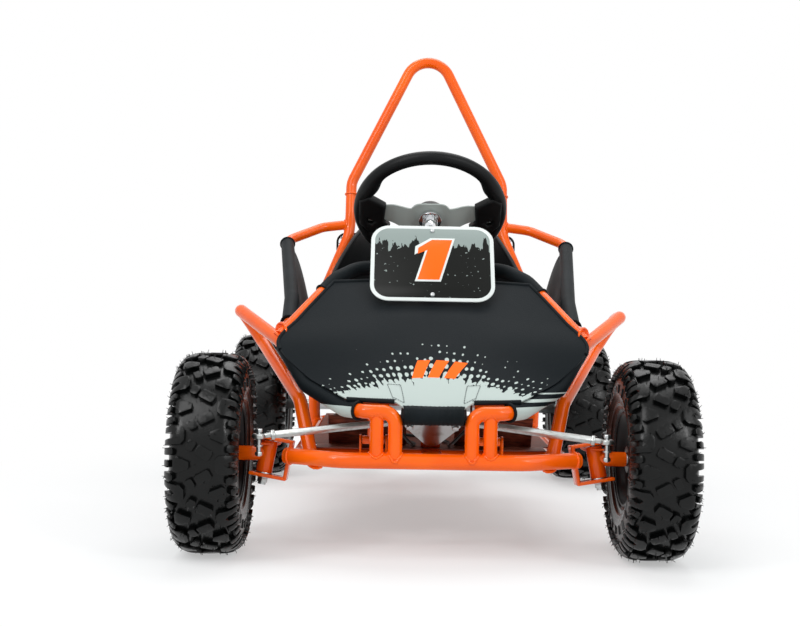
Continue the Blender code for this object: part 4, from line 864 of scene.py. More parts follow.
def front_beam():
    """Bowed front tube with a channel bracket at each end and the nose posts."""
    parts = [rope(BEAM_PATH, MAIN_TUBE)]
    centre_x = BRACKET_DEEP / 2 - BRACKET_BACK
    flange_z = (BRACKET_HIGH - BRACKET_WALL) / 2
    for _, side in SIDES:
        local = kingpin_frame(side)
        web = shifted(local, x=centre_x - BRACKET_DEEP / 2 + BRACKET_WALL / 2)
        parts.append(block((BRACKET_WALL, BRACKET_WIDE, BRACKET_HIGH), web, 0.0025, 3))
        for z in (flange_z, -flange_z):
            flange = shifted(local, x=centre_x, z=z)
            parts.append(block((BRACKET_DEEP, BRACKET_WIDE, BRACKET_WALL), flange, 0.0022, 3))
        post_foot = at(side * NOSE_POST_X, -BEAM_FORWARD, 0)
        post_head = at(side * NOSE_POST_X, -BEAM_FORWARD, NOSE_H)
        parts.append(bar(post_foot, post_head, SIDE_TUBE / 2 - 0.0005))
        weld(post_foot, UP, SIDE_TUBE, post_foot, ACROSS, MAIN_TUBE)
        weld(post_head, -UP, SIDE_TUBE, post_head, ACROSS, SIDE_TUBE)
        end, heading = nearest(BEAM_PATH, local @ Vector((-BRACKET_BACK, 0, 0)))
        ring_weld(end - heading * side * 0.0085, heading, MAIN_TUBE)
    piece("front_beam_tube", parts, POWDER, nodes=("front_beam",), angle=50)


def kingpins():
    """Flanged bolt and lock nut through each bracket."""
    head = BRACKET_HIGH / 2
    for name, side in SIDES:
        local = kingpin_frame(side)
        parts = stack(local.translation, heading_of(local), (
            (-head - 0.014, head, 0.0072), (head, head + 0.002, 0.0125),
            (head + 0.002, head + 0.0085, 0.0105, 6), (-head, -head - 0.0018, 0.0120),
            (-head - 0.0018, -head - 0.010, 0.0100, 6)
        ))
        piece(f"kingpin_bolt_{name}", parts, ZINC, nodes=(f"kingpin_{name}",))


def floor_parts():
    """Pressed floor sheet with beads, toe boards and seat riser, the seat's crossbar and the bumper."""
    half = RAIL_HALF - MAIN_TUBE / 2
    front = 0.130
    lip_front = 0.066
    lip_wide = 0.424
    riser_y = HOOP_Y - 0.245
    parts = []
    for wide, y0, y1 in ((2 * half, front, HOOP_Y), (lip_wide, lip_front, front)):
        sheet = level_at(0, (y0 + y1) / 2, FLOOR_TOP + SHEET / 2)
        parts.append(block((wide, y1 - y0, SHEET), sheet, 0.0005))
    bead_h = FLOOR_TOP + SHEET
    for x in (-0.14, -0.07, 0.0, 0.07, 0.14):
        parts.append(rope([at(x, front + 0.05, bead_h), at(x, riser_y - 0.05, bead_h)], 0.006, 4))
    lean = Matrix.Rotation(math.atan2(0.032, 0.0545), 4, "X")
    for side in (-1, 1):
        board = level_at(side * 0.1175, front - 0.0150, FLOOR_TOP + 0.0285) @ lean
        parts.append(block((0.145, SHEET, 0.068), board, 0.0005))
        leg = level_at(side * 0.0985, riser_y, FLOOR_TOP + 0.0407)
        parts.append(block((0.003, 0.036, 0.0804), leg, 0.0005))
    parts.append(block((0.200, 0.036, 0.003), level_at(0, riser_y, FLOOR_TOP + 0.0804), 0.0008))
    # The floor sheet's coat is darkened all over as painted shade.
    piece("floor_sheet", parts, SHADE_DARKENED_FLOOR_COAT, nodes=("floor_pan",))
    height = 0.0690 - 0.0134
    reach = 0.2341
    y = HOOP_Y - 0.111
    cross = rope([at(-reach, y, height), at(reach, y, height)], RAIL_TUBE)
    piece("seat_crossbar_tube", [cross], POWDER, nodes=("seat_crossbar",))
    back = WHEELBASE + 0.2345 - SIDE_TUBE / 2
    half_path = [
        (REAR_HALF, WHEELBASE + 0.1203, REAR_RAIL_H), (REAR_HALF, WHEELBASE + 0.140, REAR_RAIL_H),
        (REAR_HALF, back, REAR_RAIL_H + 0.016)
    ]
    bumper = rope(rounded(both_sides(half_path), 0.05), SIDE_TUBE)
    for _, side in SIDES:
        ring_weld(at(side * REAR_HALF, WHEELBASE + 0.1201, REAR_RAIL_H), (0, 1, 0), SIDE_TUBE + 0.002)
        join_tubes([at(side * reach, y, height), at(0, y, height)], RAIL_TUBE, LEG_PATHS[side], HOOP_TUBE)
    piece("rear_bumper_tube", [bumper], POWDER, nodes=("rear_bumper",))


PEDAL_X = 0.105
PEDAL_Y = 0.045
PEDAL_H = 0.022
CROSSBAR_Y = 0.090


def column_foot():
    """Front crossbar with the column's lower bearing and the pedals' ears."""
    reach = RAIL_HALF - 0.0075
    ends = {side: at(side * reach, CROSSBAR_Y, FLOOR_H) for _, side in SIDES}
    parts = [rope([ends[-1], ends[1]], MAIN_TUBE)]
    for _, side in SIDES:
        join_tubes([ends[side], at(0, CROSSBAR_Y, FLOOR_H)], MAIN_TUBE, RAIL_PATHS[side], MAIN_TUBE)
    front = -BEAM_FORWARD + MAIN_TUBE / 2 + 0.0006
    back = 0.106
    parts.append(block((0.036, back - front, 0.005), level_at(0, (front + back) / 2, 0.0015)))
    bearing = column_frame(0.032)
    parts.append(block((0.036, 0.094, 0.004), shifted(bearing, y=-0.037)))
    parts.append(bush(0.0170, 0.0107, 0.010, bearing))
    ear = [(-0.031, -0.024), (0.031, -0.024), (0.031, -0.002), *arc((-0.018, 0.012), 0.012, 0.3, math.pi, 6)]
    for x in (-PEDAL_X, PEDAL_X):
        for ear_x in (-0.0235, 0.0235):
            place = at(x + ear_x, PEDAL_Y + 0.022, PEDAL_H - 0.014)
            parts.append(flat(ear, 0.004, upright_at(place)))
    piece("column_foot_frame", parts, POWDER, nodes=("column_foot",), angle=40)


def engine_mount():
    """Two crossbars, the engine's bed plate and the tank's tray."""
    inner = REAR_HALF - MAIN_TUBE / 2
    front_y = WHEELBASE - 0.168
    width = 0.025
    parts = []
    for y in (front_y, front_y + 0.052):
        parts.append(bar(at(-inner, y, REAR_RAIL_H), at(inner, y, REAR_RAIL_H), width / 2))
        for _, side in SIDES:
            end = at(side * REAR_HALF, y, REAR_RAIL_H)
            weld(end, ACROSS * -side, width, end, (0, 1, 0), MAIN_TUBE)
    parts.append(block((0.155, 0.150, 0.006), level_at(-0.0075, front_y + 0.055, REAR_RAIL_TOP + 0.001)))
    parts.append(block((0.233, 0.130, 0.004), level_at(-0.1935, front_y + 0.018, REAR_RAIL_TOP + 0.0023)))
    piece("engine_bed", parts, POWDER, nodes=("engine_mount",))


# Wheels

PITCHES = 11
PITCH = math.tau * TYRE_RADIUS / PITCHES
TREAD = 0.0085
LUG_SHARE = 0.89
# How far below the tread the carcass takes the painted shade rubber
GROOVE_SHADE_BAND = 0.012
HAIRS = 1000
CARCASS_LINE = [
    (TYRE_RADIUS - TREAD, 0.000), (TYRE_RADIUS - TREAD - 0.0004, 0.017),
    (TYRE_RADIUS - TREAD - 0.0016, 0.032), (TYRE_RADIUS - TREAD - 0.0050, 0.0420),
    (TYRE_RADIUS - TREAD - 0.0120, 0.0492), (0.1450, 0.0542), (0.1300, 0.0568), (0.1130, 0.0566),
    (0.0965, 0.0512), (0.0850, 0.0438)
]
SECTION_STEPS = 90
SECTION = [eased_value(CARCASS_LINE, i / SECTION_STEPS) for i in range(SECTION_STEPS + 1)]
SECTION_REACH = [0.0]
for before, after in zip(SECTION, SECTION[1:]):
    SECTION_REACH.append(SECTION_REACH[-1] + math.dist(before, after))
WALL_END = SECTION_REACH[-1]


def section(reach, height=0.0):
    """(radius, width) of the carcass at a distance over it from its middle, and a height above it."""
    number = 0
    while number < SECTION_STEPS - 1 and SECTION_REACH[number + 1] < reach:
        number += 1
    share = (reach - SECTION_REACH[number]) / (SECTION_REACH[number + 1] - SECTION_REACH[number])
    before = SECTION[max(number - 1, 0)]
    a = SECTION[number]
    b = SECTION[number + 1]
    after = SECTION[min(number + 2, SECTION_STEPS)]
    first = Vector((b[0] - before[0], b[1] - before[1])).normalized()
    second = Vector((after[0] - a[0], after[1] - a[1])).normalized()
    run = first.lerp(second, share).normalized()
    if reach <= 0.002:
        run = Vector((0, 1))
    radius = a[0] + (b[0] - a[0]) * share + run.y * height
    width = a[1] + (b[1] - a[1]) * share - run.x * height
    return radius, width


def lug(centre, length, width, turn=0.0, cut=0.003):
    """The outline of a rectangular lug with cut corners: centre is (round, across) the tyre."""
    x = length / 2
    y = width / 2
    corners = [
        (-x + cut, -y), (x - cut, -y), (x, -y + cut), (x, y - cut), (x - cut, y), (-x + cut, y),
        (-x, y - cut), (-x, -y + cut)
    ]
    c = math.cos(turn)
    s = math.sin(turn)
    return [(centre[0] + a * c - b * s, centre[1] + a * s + b * c) for a, b in corners]


def tread_outlines():
    """One pitch of the tread laid flat: slanted bars, wedges, arches and shoulder lugs."""
    lines = []
    for number in (-1, 1):
        turn = math.radians(-60 * number)
        for offset, length in ((-0.0165, 0.0155), (0.0080, 0.0310)):
            centre = (number * 0.0262 + offset * number * math.cos(turn), offset * number * math.sin(turn))
            lines.append(lug(centre, length, 0.0200, turn))
    wedge = [
        (-0.0060, 0.0145), (0.0060, 0.0145), (0.0155, 0.0365), (0.0120, 0.0420), (-0.0120, 0.0420),
        (-0.0155, 0.0365)
    ]
    arch = [
        (-0.0180, 0.0290), (-0.0100, 0.0225), (0.0100, 0.0225), (0.0180, 0.0290), (0.0195, 0.0640),
        (0.0075, 0.0655), (0.0055, 0.0430), (0.0000, 0.0385), (-0.0055, 0.0430), (-0.0075, 0.0655),
        (-0.0195, 0.0640)
    ]
    for side in (-1, 1):
        open_at = 0.0 if side < 0 else PITCH / 2
        lines.append([(open_at + a, side * b) for a, b in wedge])
        lines.append([(open_at + PITCH / 2 + a, side * b) for a, b in arch])
        for offset in (-0.0225, 0.0225):
            lines.append(lug((open_at + offset, side * 0.0525), 0.0150, 0.0250))
        lines.append(lug((open_at, side * 0.0555), 0.0150, 0.0170))
    return lines


def tread_pitch():
    """The flat tread of one pitch, cut fine enough to bend."""
    parts = []
    for outline in tread_outlines():
        foot = Matrix.Translation((0, 0, TREAD / 2 - 0.001))
        middle_x = sum(a for a, _ in outline) / len(outline)
        middle_y = sum(b for _, b in outline) / len(outline)
        lug_line = [
            (middle_x + (a - middle_x) * LUG_SHARE, middle_y + (b - middle_y) * LUG_SHARE) for a, b in outline
        ]
        parts.append(flat(lug_line, TREAD + 0.002, foot, 0.0007))
    obj = merged(parts)
    sliced(obj, ACROSS, PITCH, 0.011)
    sliced(obj, BACK, 0.067, 0.0060)
    return obj


def wrap(obj, start):
    """Bends a flat tread round the tyre, from a turn of start."""
    for vertex in obj.data.vertices:
        around, across, height = vertex.co
        radius, width = section(abs(across), height)
        turn = start + around / TYRE_RADIUS
        vertex.co = (math.copysign(width, across), radius * math.sin(turn), radius * math.cos(turn))


def carcass():
    """The body of the front tyre, with sidewall ribs and a bead, its axle along X."""
    bead_r = 0.0788
    outer = []
    count = 36
    for i in range(count + 1):
        rib = 0.0014 if i in (26, 31, 34) else 0.0
        outer.append(section(WALL_END * i / count, rib))
    half = [
        *outer, (bead_r + 0.002, 0.0405), (bead_r, 0.0380), (bead_r, 0.0290), (bead_r + 0.012, 0.0310),
        (0.120, 0.0460), (0.150, 0.0410), (TYRE_RADIUS - TREAD - 0.009, 0.0250)
    ]
    profile = there_and_back(half, y=-1)[:-1]
    return turned(profile, matrix_of((0, 0, 0), ACROSS), 88, ring=True)


def hairs(obj, seed):
    """The fine rubber hairs that vents in the mould leave on a new tyre."""
    chance = random.Random(seed)
    shape = bmesh.new()
    high = [v.co.copy() for v in obj.data.vertices if math.hypot(v.co.y, v.co.z) > TYRE_RADIUS - 0.034]
    for place in chance.sample(high, HAIRS):
        out = Vector((place.x * 1.1, place.y * 0.55, place.z * 0.55)).normalized()
        lean = Vector([chance.uniform(-0.5, 0.5) for _ in range(3)])
        length = chance.uniform(0.0035, 0.0065)
        local = matrix_of(place + out * (length / 2 - 0.0006), out + lean)
        bmesh.ops.create_cone(
            shape, cap_ends=True, segments=3, radius1=0.0007, radius2=0.0004, depth=length, matrix=local
        )
    data = bpy.data.meshes.new("hairs")
    shape.to_mesh(data)
    shape.free()
    return linked(data)


def tyre_master():
    """A front tyre about the origin, its axle along X."""
    first = coated(tread_pitch(), RUBBER)
    body = coated(carcass(), RUBBER)
    # Carcass faces near the tread take the painted shade rubber, so the grooves between the lugs read darker
    body.data.materials.append(SHADE_DARKENED_GROOVE_RUBBER)
    for face in body.data.polygons:
        if math.hypot(face.center.y, face.center.z) > TYRE_RADIUS - TREAD - GROOVE_SHADE_BAND:
            face.material_index = 1
    parts = [body]
    for number in range(PITCHES):
        copy = copied(first)
        wrap(copy, math.tau * number / PITCHES)
        parts.append(copy)
    bpy.data.objects.remove(first, do_unlink=True)
    for side in (-1, 1):
        for number in range(PITCHES * 2):
            turn = math.tau * (number + 0.5) / (PITCHES * 2)
            ends = []
            for reach in (0.078, 0.094):
                radius, width = section(reach)
                ends.append(Vector((side * width, radius * math.sin(turn), radius * math.cos(turn))))
            parts.append(coated(rope(ends, 0.0050, 2), RUBBER))
    return merged(parts)


def rim_master(front, half):
    """A pressed steel rim about the origin, axle along X, outside towards +X, of that half width."""
    barrel = 0.0775
    lip = 0.0855
    wall = 0.0032
    disc = 0.0075
    shell = there_and_back([
        (lip - 0.002, half + 0.0006), (lip, half - 0.0010), (lip - 0.0015, half - 0.0030),
        (barrel + 0.0010, half - 0.0085), (barrel, half - 0.014), (barrel - 0.006, half - 0.020)
    ], y=-1)
    inside = [(r - wall, w) for r, w in reversed(shell)]
    local = matrix_of((0, 0, 0), ACROSS)
    parts = [turned(shell + inside, local, 64, ring=True)]
    face = [
        (barrel - 0.008, disc + 0.002), (0.060, disc + 0.001), (0.052, disc + 0.006), (0.036, disc + 0.006),
        (0.030, disc), (0.012, disc), (0.012, disc - 0.0035), (0.030, disc - 0.0035),
        (0.036, disc + 0.0025), (0.052, disc + 0.0025), (0.060, disc - 0.0025),
        (barrel - 0.008, disc - 0.0015)
    ]
    parts.append(turned(face, local, 64, ring=True))
    if front:
        sleeve = [(0.024, disc), (0.024, -0.041), (0.0108, -0.041), (0.0108, disc)]
        parts.append(turned(sleeve, local, 40, ring=True, edge=0.001))
    for part in parts:
        coated(part, RIM_PAINT)
    for i in range(4):
        turn = math.tau * (i + 0.5) / 4
        spot = Vector((0, math.sin(turn), math.cos(turn))) * 0.0225
        bolt = ((disc - 0.002, disc + 0.012, 0.0038, 16), (disc, disc + 0.007, 0.0072, 6))
        parts += plated(stack(spot, ACROSS, bolt))
    stem = Vector((0, math.sin(0.4), math.cos(0.4)))
    valve = bar(stem * 0.066 + ACROSS * 0.010, stem * 0.056 + ACROSS * 0.038, 0.0042, 16, 0.0034)
    return merged([*parts, coated(valve, HOSE_PLASTIC)])


def wheels():
    """Four wheels with their lugs where the solids have them."""
    tyre = coated(tyre_master(), RUBBER)
    roll = Matrix.Rotation(math.pi / PITCHES / 2 - math.pi, 4, "X")
    for end, hub, width in (("front", FRONT_HUB, FRONT_TYRE), ("rear", REAR_HUB, REAR_TYRE)):
        rim = rim_master(end == "front", (width - RIM_NARROWER) / 2)
        for name, side in SIDES:
            place = Matrix.Translation((side * hub.x, hub.y, hub.z))
            turn = Matrix.Rotation(0 if side > 0 else math.pi, 4, "Z")
            body = f"{name}_front_wheel" if end == "front" else "rear_axle"
            tyre_copy = copied(tyre, Matrix.Scale(width / FRONT_TYRE, 4, ACROSS))
            fuzz = hairs(tyre_copy, f"{end}{name}")
            for part in (tyre_copy, fuzz):
                part.data.transform(place @ turn @ roll)
            coated(fuzz, RUBBER)
            piece(f"{end}_tread_tyre_{name}", [tyre_copy, fuzz], RUBBER, body, (f"{end}_tyre_{name}",), 30)
            rim_copy = copied(rim, place @ turn)
            piece(f"{end}_steel_rim_{name}", [rim_copy], RIM_PAINT, body, (f"{end}_rim_{name}",))
        bpy.data.objects.remove(rim, do_unlink=True)
    bpy.data.objects.remove(tyre, do_unlink=True)


# Steering


def front_end():
    """Knuckles with their stub axles, arms and ball studs."""
    half = BRACKET_HIGH / 2 - BRACKET_WALL - 0.002
    hub_x = FRONT_HUB.x
    for name, side in SIDES:
        local = kingpin_frame(side)
        arm_end = at(side * BALL[0], BALL[1], STEER_ARM_H)
        arm_start = at(side * KINGPIN_X, -0.004, STEER_ARM_H)
        run = arm_end - arm_start
        outline = [(-0.0115, 0.0), (0.0115, 0.0), *arc((0, run.length), 0.0115, 0, math.pi, 8)]
        seam = arm_start + Vector((0, -0.010, 0.004))
        paint = [
            bush(0.0145, 0.0082, half, local, 32),
            bar(at(side * KINGPIN_X, 0, 0), at(side * (hub_x - 0.0425), 0, 0), 0.0130),
            flat(outline, 0.008, matrix_of(arm_start, UP, UP.cross(run)), 0.001),
            seam_weld(seam - ACROSS * 0.011, seam + ACROSS * 0.011, 0.003)
        ]
        ball = at(side * BALL[0], *BALL[1:])
        fittings = stack(at(0, 0, 0), ACROSS * side, (
            (hub_x - 0.0465, hub_x + 0.024, 0.0098), (hub_x + 0.013, hub_x + 0.0150, 0.0150),
            (hub_x + 0.015, hub_x + 0.023, 0.0150, 6)
        ))
        fittings += stack(local.translation, heading_of(local), ((-half - 0.0030, -half, 0.0165, 36),))
        fittings += stack(arm_end, UP, ((-0.0105, -0.0045, 0.0070, 6), (0.0045, 0.0075, 0.0075, 24)))
        stud_foot = arm_end.z - ball.z - 0.012
        fittings += stack(ball, UP, ((stud_foot, 0.012, 0.0042, 20), (0.0072, 0.0130, 0.0070, 6)))
        parts = paint + plated(fittings)
        piece(f"steering_knuckle_{name}", parts, POWDER, f"{name}_knuckle", (f"knuckle_{name}",))


def ball_eye(centre, axis, radius, height, hole):
    """A rod end's forged eye with a rounded rim, open round its bolt."""
    profile = [
        (hole, -height * 0.36), (radius * 0.72, -height / 2), (radius * 0.94, -height * 0.34),
        (radius, 0.0), (radius * 0.94, height * 0.34), (radius * 0.72, height / 2), (hole, height * 0.36)
    ]
    return turned(profile, matrix_of(centre, axis), 36, ring=True)


def tie_rods():
    """Six-sided rods with a rod end and lock nut at each end."""
    for name, side in SIDES:
        outer = at(side * BALL[0], *BALL[1:])
        inner = on_column(0, side * PIVOT_X, PIVOT_UP)
        run = (inner - outer).normalized()
        parts = [
            bar(outer + run * 0.028, inner - run * 0.030, 0.0072, 6, edge=0.0004),
            *stack(outer, run, ((0.009, 0.030, 0.0046, 20), (0.021, 0.0275, 0.0095, 6))),
            *stack(inner, run, ((-0.0125, -0.032, 0.0046, 20), (-0.0295, -0.023, 0.0095, 6))),
            ball_eye(outer, UP, 0.0125, 0.009, 0.0056), ball_eye(inner, COLUMN_UP, 0.0150, 0.009, 0.0104)
        ]
        piece(f"tie_rod_bar_{name}", parts, ROD_STEEL, f"{name}_tie_rod", (f"tie_rod_{name}",))


def steering_column():
    """Chromed shaft with its pitman plate, bolts, collar and flange."""
    top = COLUMN_LENGTH
    shaft = stack(COLUMN_FOOT, COLUMN_UP, (
        (-0.012, top, COLUMN_RADIUS, 36), (top - 0.0095, top, 0.024, 40, None, 0.0012),
        (top - 0.045, top - 0.008, 0.016, 36, None, 0.0015)
    ))
    ear = 0.0095
    outline = [
        *arc((PIVOT_X, PIVOT_UP), ear, -math.pi / 4, math.pi / 2, 8),
        *arc((-PIVOT_X, PIVOT_UP), ear, math.pi / 2, math.pi * 5 / 4, 8),
        *arc((0, 0), 0.018, math.pi * 1.15, math.pi * 1.85, 10)
    ]
    fittings = [flat(outline, 0.005, column_frame(-0.0105), 0.0008)]
    for side in (-1, 1):
        fittings += stack(on_column(0, side * PIVOT_X, PIVOT_UP), COLUMN_UP, (
            (-0.0180, 0.0155, 0.0040, 20), (-0.0190, -0.0132, 0.0070, 6),
            (0.0068, 0.0084, 0.0125, 32, None, 0.0004), (0.0084, 0.0132, 0.0072, 6)
        ))
    for x, y in circle(0.0185, 4, start=math.pi / 4):
        spot = column_frame(top - 0.0095) @ Vector((x, y, 0))
        fittings.append(bar(spot - COLUMN_UP * 0.005, spot, 0.0040, 6))
    parts = shaft + plated(fittings)
    piece("steering_shaft", parts, CHROME, "steering", ("steering_column",))


def steering_wheel():
    """Foam ring with thumb swells, soft boots over the spoke ends, and a dished grey spoke."""
    radius = 0.146
    seat_at = COLUMN_LENGTH + 0.0003
    ring_frame = column_frame(seat_at + 0.0225)
    count = 144

    def swell(number):
        turn = math.tau * number / count
        bulge = sum(
            math.exp(-(((turn - math.radians(thumb) + math.pi) % math.tau - math.pi) / 0.17) ** 2)
            for thumb in (28, 152)
        )
        return 1.0 + 0.30 * bulge

    ring = []
    for number, (x, y) in enumerate(circle(radius, count)):
        inward = 1 - 0.11 * (swell(number) - 1)
        ring.append(ring_frame @ Vector((x * inward, y * inward, 0)))
    foam = [rope(ring, 0.0278, 10, True, swell)]
    boot = [
        (0.1480, 0.0330), (0.1290, 0.0450), (0.0920, 0.0180), (0.0960, -0.0230), (0.0830, -0.0400),
        (0.0980, -0.0600), (0.1290, -0.0560), (0.1480, -0.0310)
    ]
    slot = [(0.1165, -0.0240), (0.1290, -0.0175), (0.1295, -0.0290), (0.1220, -0.0310)]
    boot_frame = shifted(column_frame(seat_at + 0.0150), y=0.004)
    for _, side in SIDES:
        sides_boot, sides_slot = ([(side * x, y) for x, y in line][::side] for line in (boot, slot))
        foam.append(flat(sides_boot, 0.0215, boot_frame, 0.0065, [sides_slot], 4))
    piece("foam_wheel_ring", foam, FOAM, "steering", ("steering_wheel",), 55)
    half = radius - 0.012
    quarter = math.pi / 4
    upper = [(-half, 0.0200), (-0.0880, 0.0200), (-0.0400, 0.0240)]
    upper += arc((-0.020, 0.018), 0.020, 3 * quarter, 2 * quarter, 4)
    lower = [(half, -0.0260), (0.0880, -0.0260), (0.050, -0.0400)]
    lower += arc((0.012, -0.024), 0.024, -quarter, -2 * quarter, 4)
    outline = there_and_back(upper, x=-1) + there_and_back(lower, x=-1)
    spokes = flat(outline[::-1], 0.0036, Matrix(), 0.0010, (), 2)
    sliced(spokes, ACROSS, 0.130, 0.004)
    for vertex in spokes.data.vertices:
        share = min(max((abs(vertex.co.x) - 0.034) / 0.050, 0.0), 1.0)
        vertex.co.z += 0.0150 * share * share * (3 - 2 * share)
    spokes.data.transform(column_frame(seat_at + 0.0023))
    piece("wheel_spokes", [spokes], SPOKE_GREY, "steering", (), 40)
    profile = [
        (0, 0.0262), (0.010, 0.0258), (0.018, 0.0240), (0.0265, 0.0185), (0.0315, 0.0120),
        (0.0340, 0.0050), (0.0345, 0.0), (0, 0.0)
    ]
    pad = turned(profile, column_frame(seat_at + 0.0053), 48)
    piece("hub_cover", [pad], BLACK_PLASTIC, "steering", ("hub_pad",), 50)


def plate_outline(inset=0.0):
    half_x = PLATE_WIDE / 2 - inset
    half_y = PLATE_HIGH / 2 - inset
    corner = 0.036 - inset
    outline = []
    for number, (x, y) in enumerate(((1, 1), (-1, 1), (-1, -1), (1, -1))):
        centre = (x * (half_x - corner), y * (half_y - corner))
        outline += arc(centre, corner, math.pi / 2 * number, math.pi / 2 * (number + 1), 10)
    return outline


def figure(grow=0.0):
    """A plain slanted figure one. grow widens it all round."""
    lean = 0.27
    low = -0.040 - grow
    high = 0.054 + grow
    wide = 0.0205 + grow
    corners = [
        (-wide, low), (wide, low), (wide, high), (-wide + 0.002, high),
        (-wide - 0.019 - grow * 0.6, high - 0.020), (-wide - 0.016 - grow * 0.4, high - 0.034 - grow * 1.4),
        (-wide, high - 0.024 - grow * 0.6)
    ]
    return [(x + lean * y + 0.003, y) for x, y in corners]


def number_plate():
    """Black plate with a white edge and a raised orange figure one outlined in white."""
    local = number_plate_frame()
    sheet = flat(plate_outline(), 0.0028, shifted(local, z=-0.0001), 0.0007, resolution=2)
    parts = [coated(sheet, PLATE_WHITE)]
    for outline, height, coat in (
        (plate_outline(0.0075), 0.0014, PLATE_FACE), (figure(0.0042), 0.0019, PLATE_WHITE),
        (figure(), 0.0024, PLATE_ORANGE)
    ):
        parts.append(coated(flat(outline, 0.0006, shifted(local, z=height), 0.0001), coat))
    back = local.inverted()
    for part in parts:
        printed(part, lambda place: (back @ place).xy)
    for y in (-PLATE_HIGH / 2 + 0.014, PLATE_HIGH / 2 - 0.012):
        screw = stack(local @ Vector((0, y, 0.0016)), heading_of(local), ((0, 0.0030, 0.0050, 24, 0.0036),))
        parts += plated(screw)
    piece("race_plate", parts, PLATE_WHITE, nodes=("number_plate",))


def pedals():
    """Ribbed foot plates on their arms and pivot tubes."""
    for name, side in (("brake", 1), ("throttle", -1)):
        x = side * PEDAL_X
        home = at(x, PEDAL_Y, PEDAL_H)
        half = 0.0200
        top = at(x, PEDAL_Y - 0.012, PEDAL_H + 0.088)
        run = top - home
        local = matrix_of(top + Vector((0, 0.004, -0.006)), run, ACROSS)
        parts = [
            bar(home - ACROSS * half, home + ACROSS * half, 0.008),
            block((0.022, 0.007, run.length), matrix_of((home + top) / 2, run, ACROSS), 0.0015),
            block((0.056, 0.0062, 0.062), local, 0.0022, 3),
        ]
        for i in range(-3, 4):
            tread = shifted(local, y=-0.0034, z=i * 0.0082)
            parts.append(block((0.050, 0.0016, 0.0030), tread, 0.0004, 1))
        piece(f"{name}_pedal_plate", parts, POWDER, name, (f"{name}_pedal",))


# Seat and soft parts

SEAT_LINE = [
    (-0.305, 0.0870), (-0.288, 0.0960), (-0.220, 0.0860), (-0.140, 0.0700), (-0.090, 0.0690),
    (-0.055, 0.0845), (-0.037, 0.1225), (-0.027, 0.1825), (-0.019, 0.2525), (-0.013, 0.3225),
    (-0.008, 0.3825), (-0.005, 0.4300)
]
SEAT_FLAT = 0.6
SEAT_WING = [
    (0.185, -0.300, 0.110), (0.198, -0.285, 0.135), (0.212, -0.255, 0.165), (0.219, -0.225, 0.200),
    (0.222, -0.200, 0.235), (0.221, -0.180, 0.264), (0.218, -0.162, 0.294), (0.211, -0.140, 0.324),
    (0.198, -0.114, 0.356), (0.181, -0.090, 0.388), (0.165, -0.064, 0.415), (0.152, -0.040, 0.433)
]


def seat_point(u, w):
    """A place on the seat: u runs across it, w from the front of the base to the top."""
    across = 2 * u - 1
    y, h = eased_value(SEAT_LINE, w)
    wing_x, wing_y, wing_h = eased_value(SEAT_WING, w)
    bank = max(0, (abs(across) - SEAT_FLAT) / (1 - SEAT_FLAT)) ** 1.5
    wide = across * (wing_x - 0.001)
    return at(wide, HOOP_Y + y + (wing_y - y) * bank, h + (wing_h - h) * bank)


def seat_normal(share):
    ahead = seat_point(0.5, min(share + 0.04, 1))
    behind = seat_point(0.5, max(share - 0.04, 0))
    return ACROSS.cross(ahead - behind).normalized()


def seat_shell():
    """Moulded shell with a rolled lip."""
    shell = surface(64, 72, seat_point, 0.004)
    edge = [(i / 40, 0.0) for i in range(40)]
    edge += [(1.0, i / 60) for i in range(60)]
    edge += [(1 - i / 40, 1.0) for i in range(40)]
    edge += [(0.0, 1 - i / 60) for i in range(60)]
    lip = rope([seat_point(u, w) for u, w in edge], 0.0095, 5, True)
    piece("seat_moulding", [shell, lip], SEAT_PLASTIC, nodes=("seat_shell",), angle=60)


def pad_point(low, high, thickness, across, along, draw, lift):
    """A place in a pad: across and along from -1 to 1, lift from its foot to its crown."""
    crown = 1.0 - 0.35 * across**4 - 0.30 * along**4
    share = low + (high - low) * (along * (1 - draw) + 1) / 2
    side = across * (1 - draw) * SEAT_FLAT * 0.96 / 2
    return seat_point(0.5 + side, share) + seat_normal(share) * (0.0035 + thickness * crown * lift)


def cushion_shape(low, high, thickness):
    """A plain pad on the seat's middle, as a closed box bent along the seat's line."""
    bpy.ops.mesh.primitive_cube_add(size=1, location=(0, 0, 0))
    obj = bpy.context.object
    bpy.ops.object.mode_set(mode="EDIT")
    bpy.ops.mesh.subdivide(number_cuts=11)
    bpy.ops.object.mode_set(mode="OBJECT")
    for vertex in obj.data.vertices:
        across, along, up = vertex.co * 2
        draw = 0.05 * max(0, abs(up) - 0.3)
        vertex.co = pad_point(low, high, thickness, across, along, draw, (up + 1) / 2)
    return obj


def plumped(obj):
    """Fills the pad as cloth round air, over the shape it was cut to."""
    lone(obj)
    remesh = obj.modifiers.new("remesh", "REMESH")
    remesh.mode = "VOXEL"
    remesh.voxel_size = 0.0055
    obj = applied(obj)
    cloth = obj.modifiers.new("fill", "CLOTH")
    cloth.settings.quality = 5
    cloth.settings.tension_stiffness = 30
    cloth.settings.compression_stiffness = 30
    cloth.settings.bending_stiffness = 0.6
    cloth.settings.use_pressure = True
    cloth.settings.uniform_pressure_force = 3.5
    cloth.settings.effector_weights.gravity = 0
    cloth.point_cache.frame_start = 1
    cloth.point_cache.frame_end = 16
    scene = bpy.context.scene
    for number in range(1, 17):
        scene.frame_set(number)
    obj = applied(obj)
    scene.frame_set(1)
    return obj


def rim_of(low, high, thickness, lift):
    """The line round a pad, at a height above the seat."""
    points = []
    for c, s in circle(1, 36):
        across = math.copysign(abs(c) ** 0.28, c)
        along = math.copysign(abs(s) ** 0.28, s)
        points.append(pad_point(low, high, thickness, across, along, 0.015, lift))
    return points


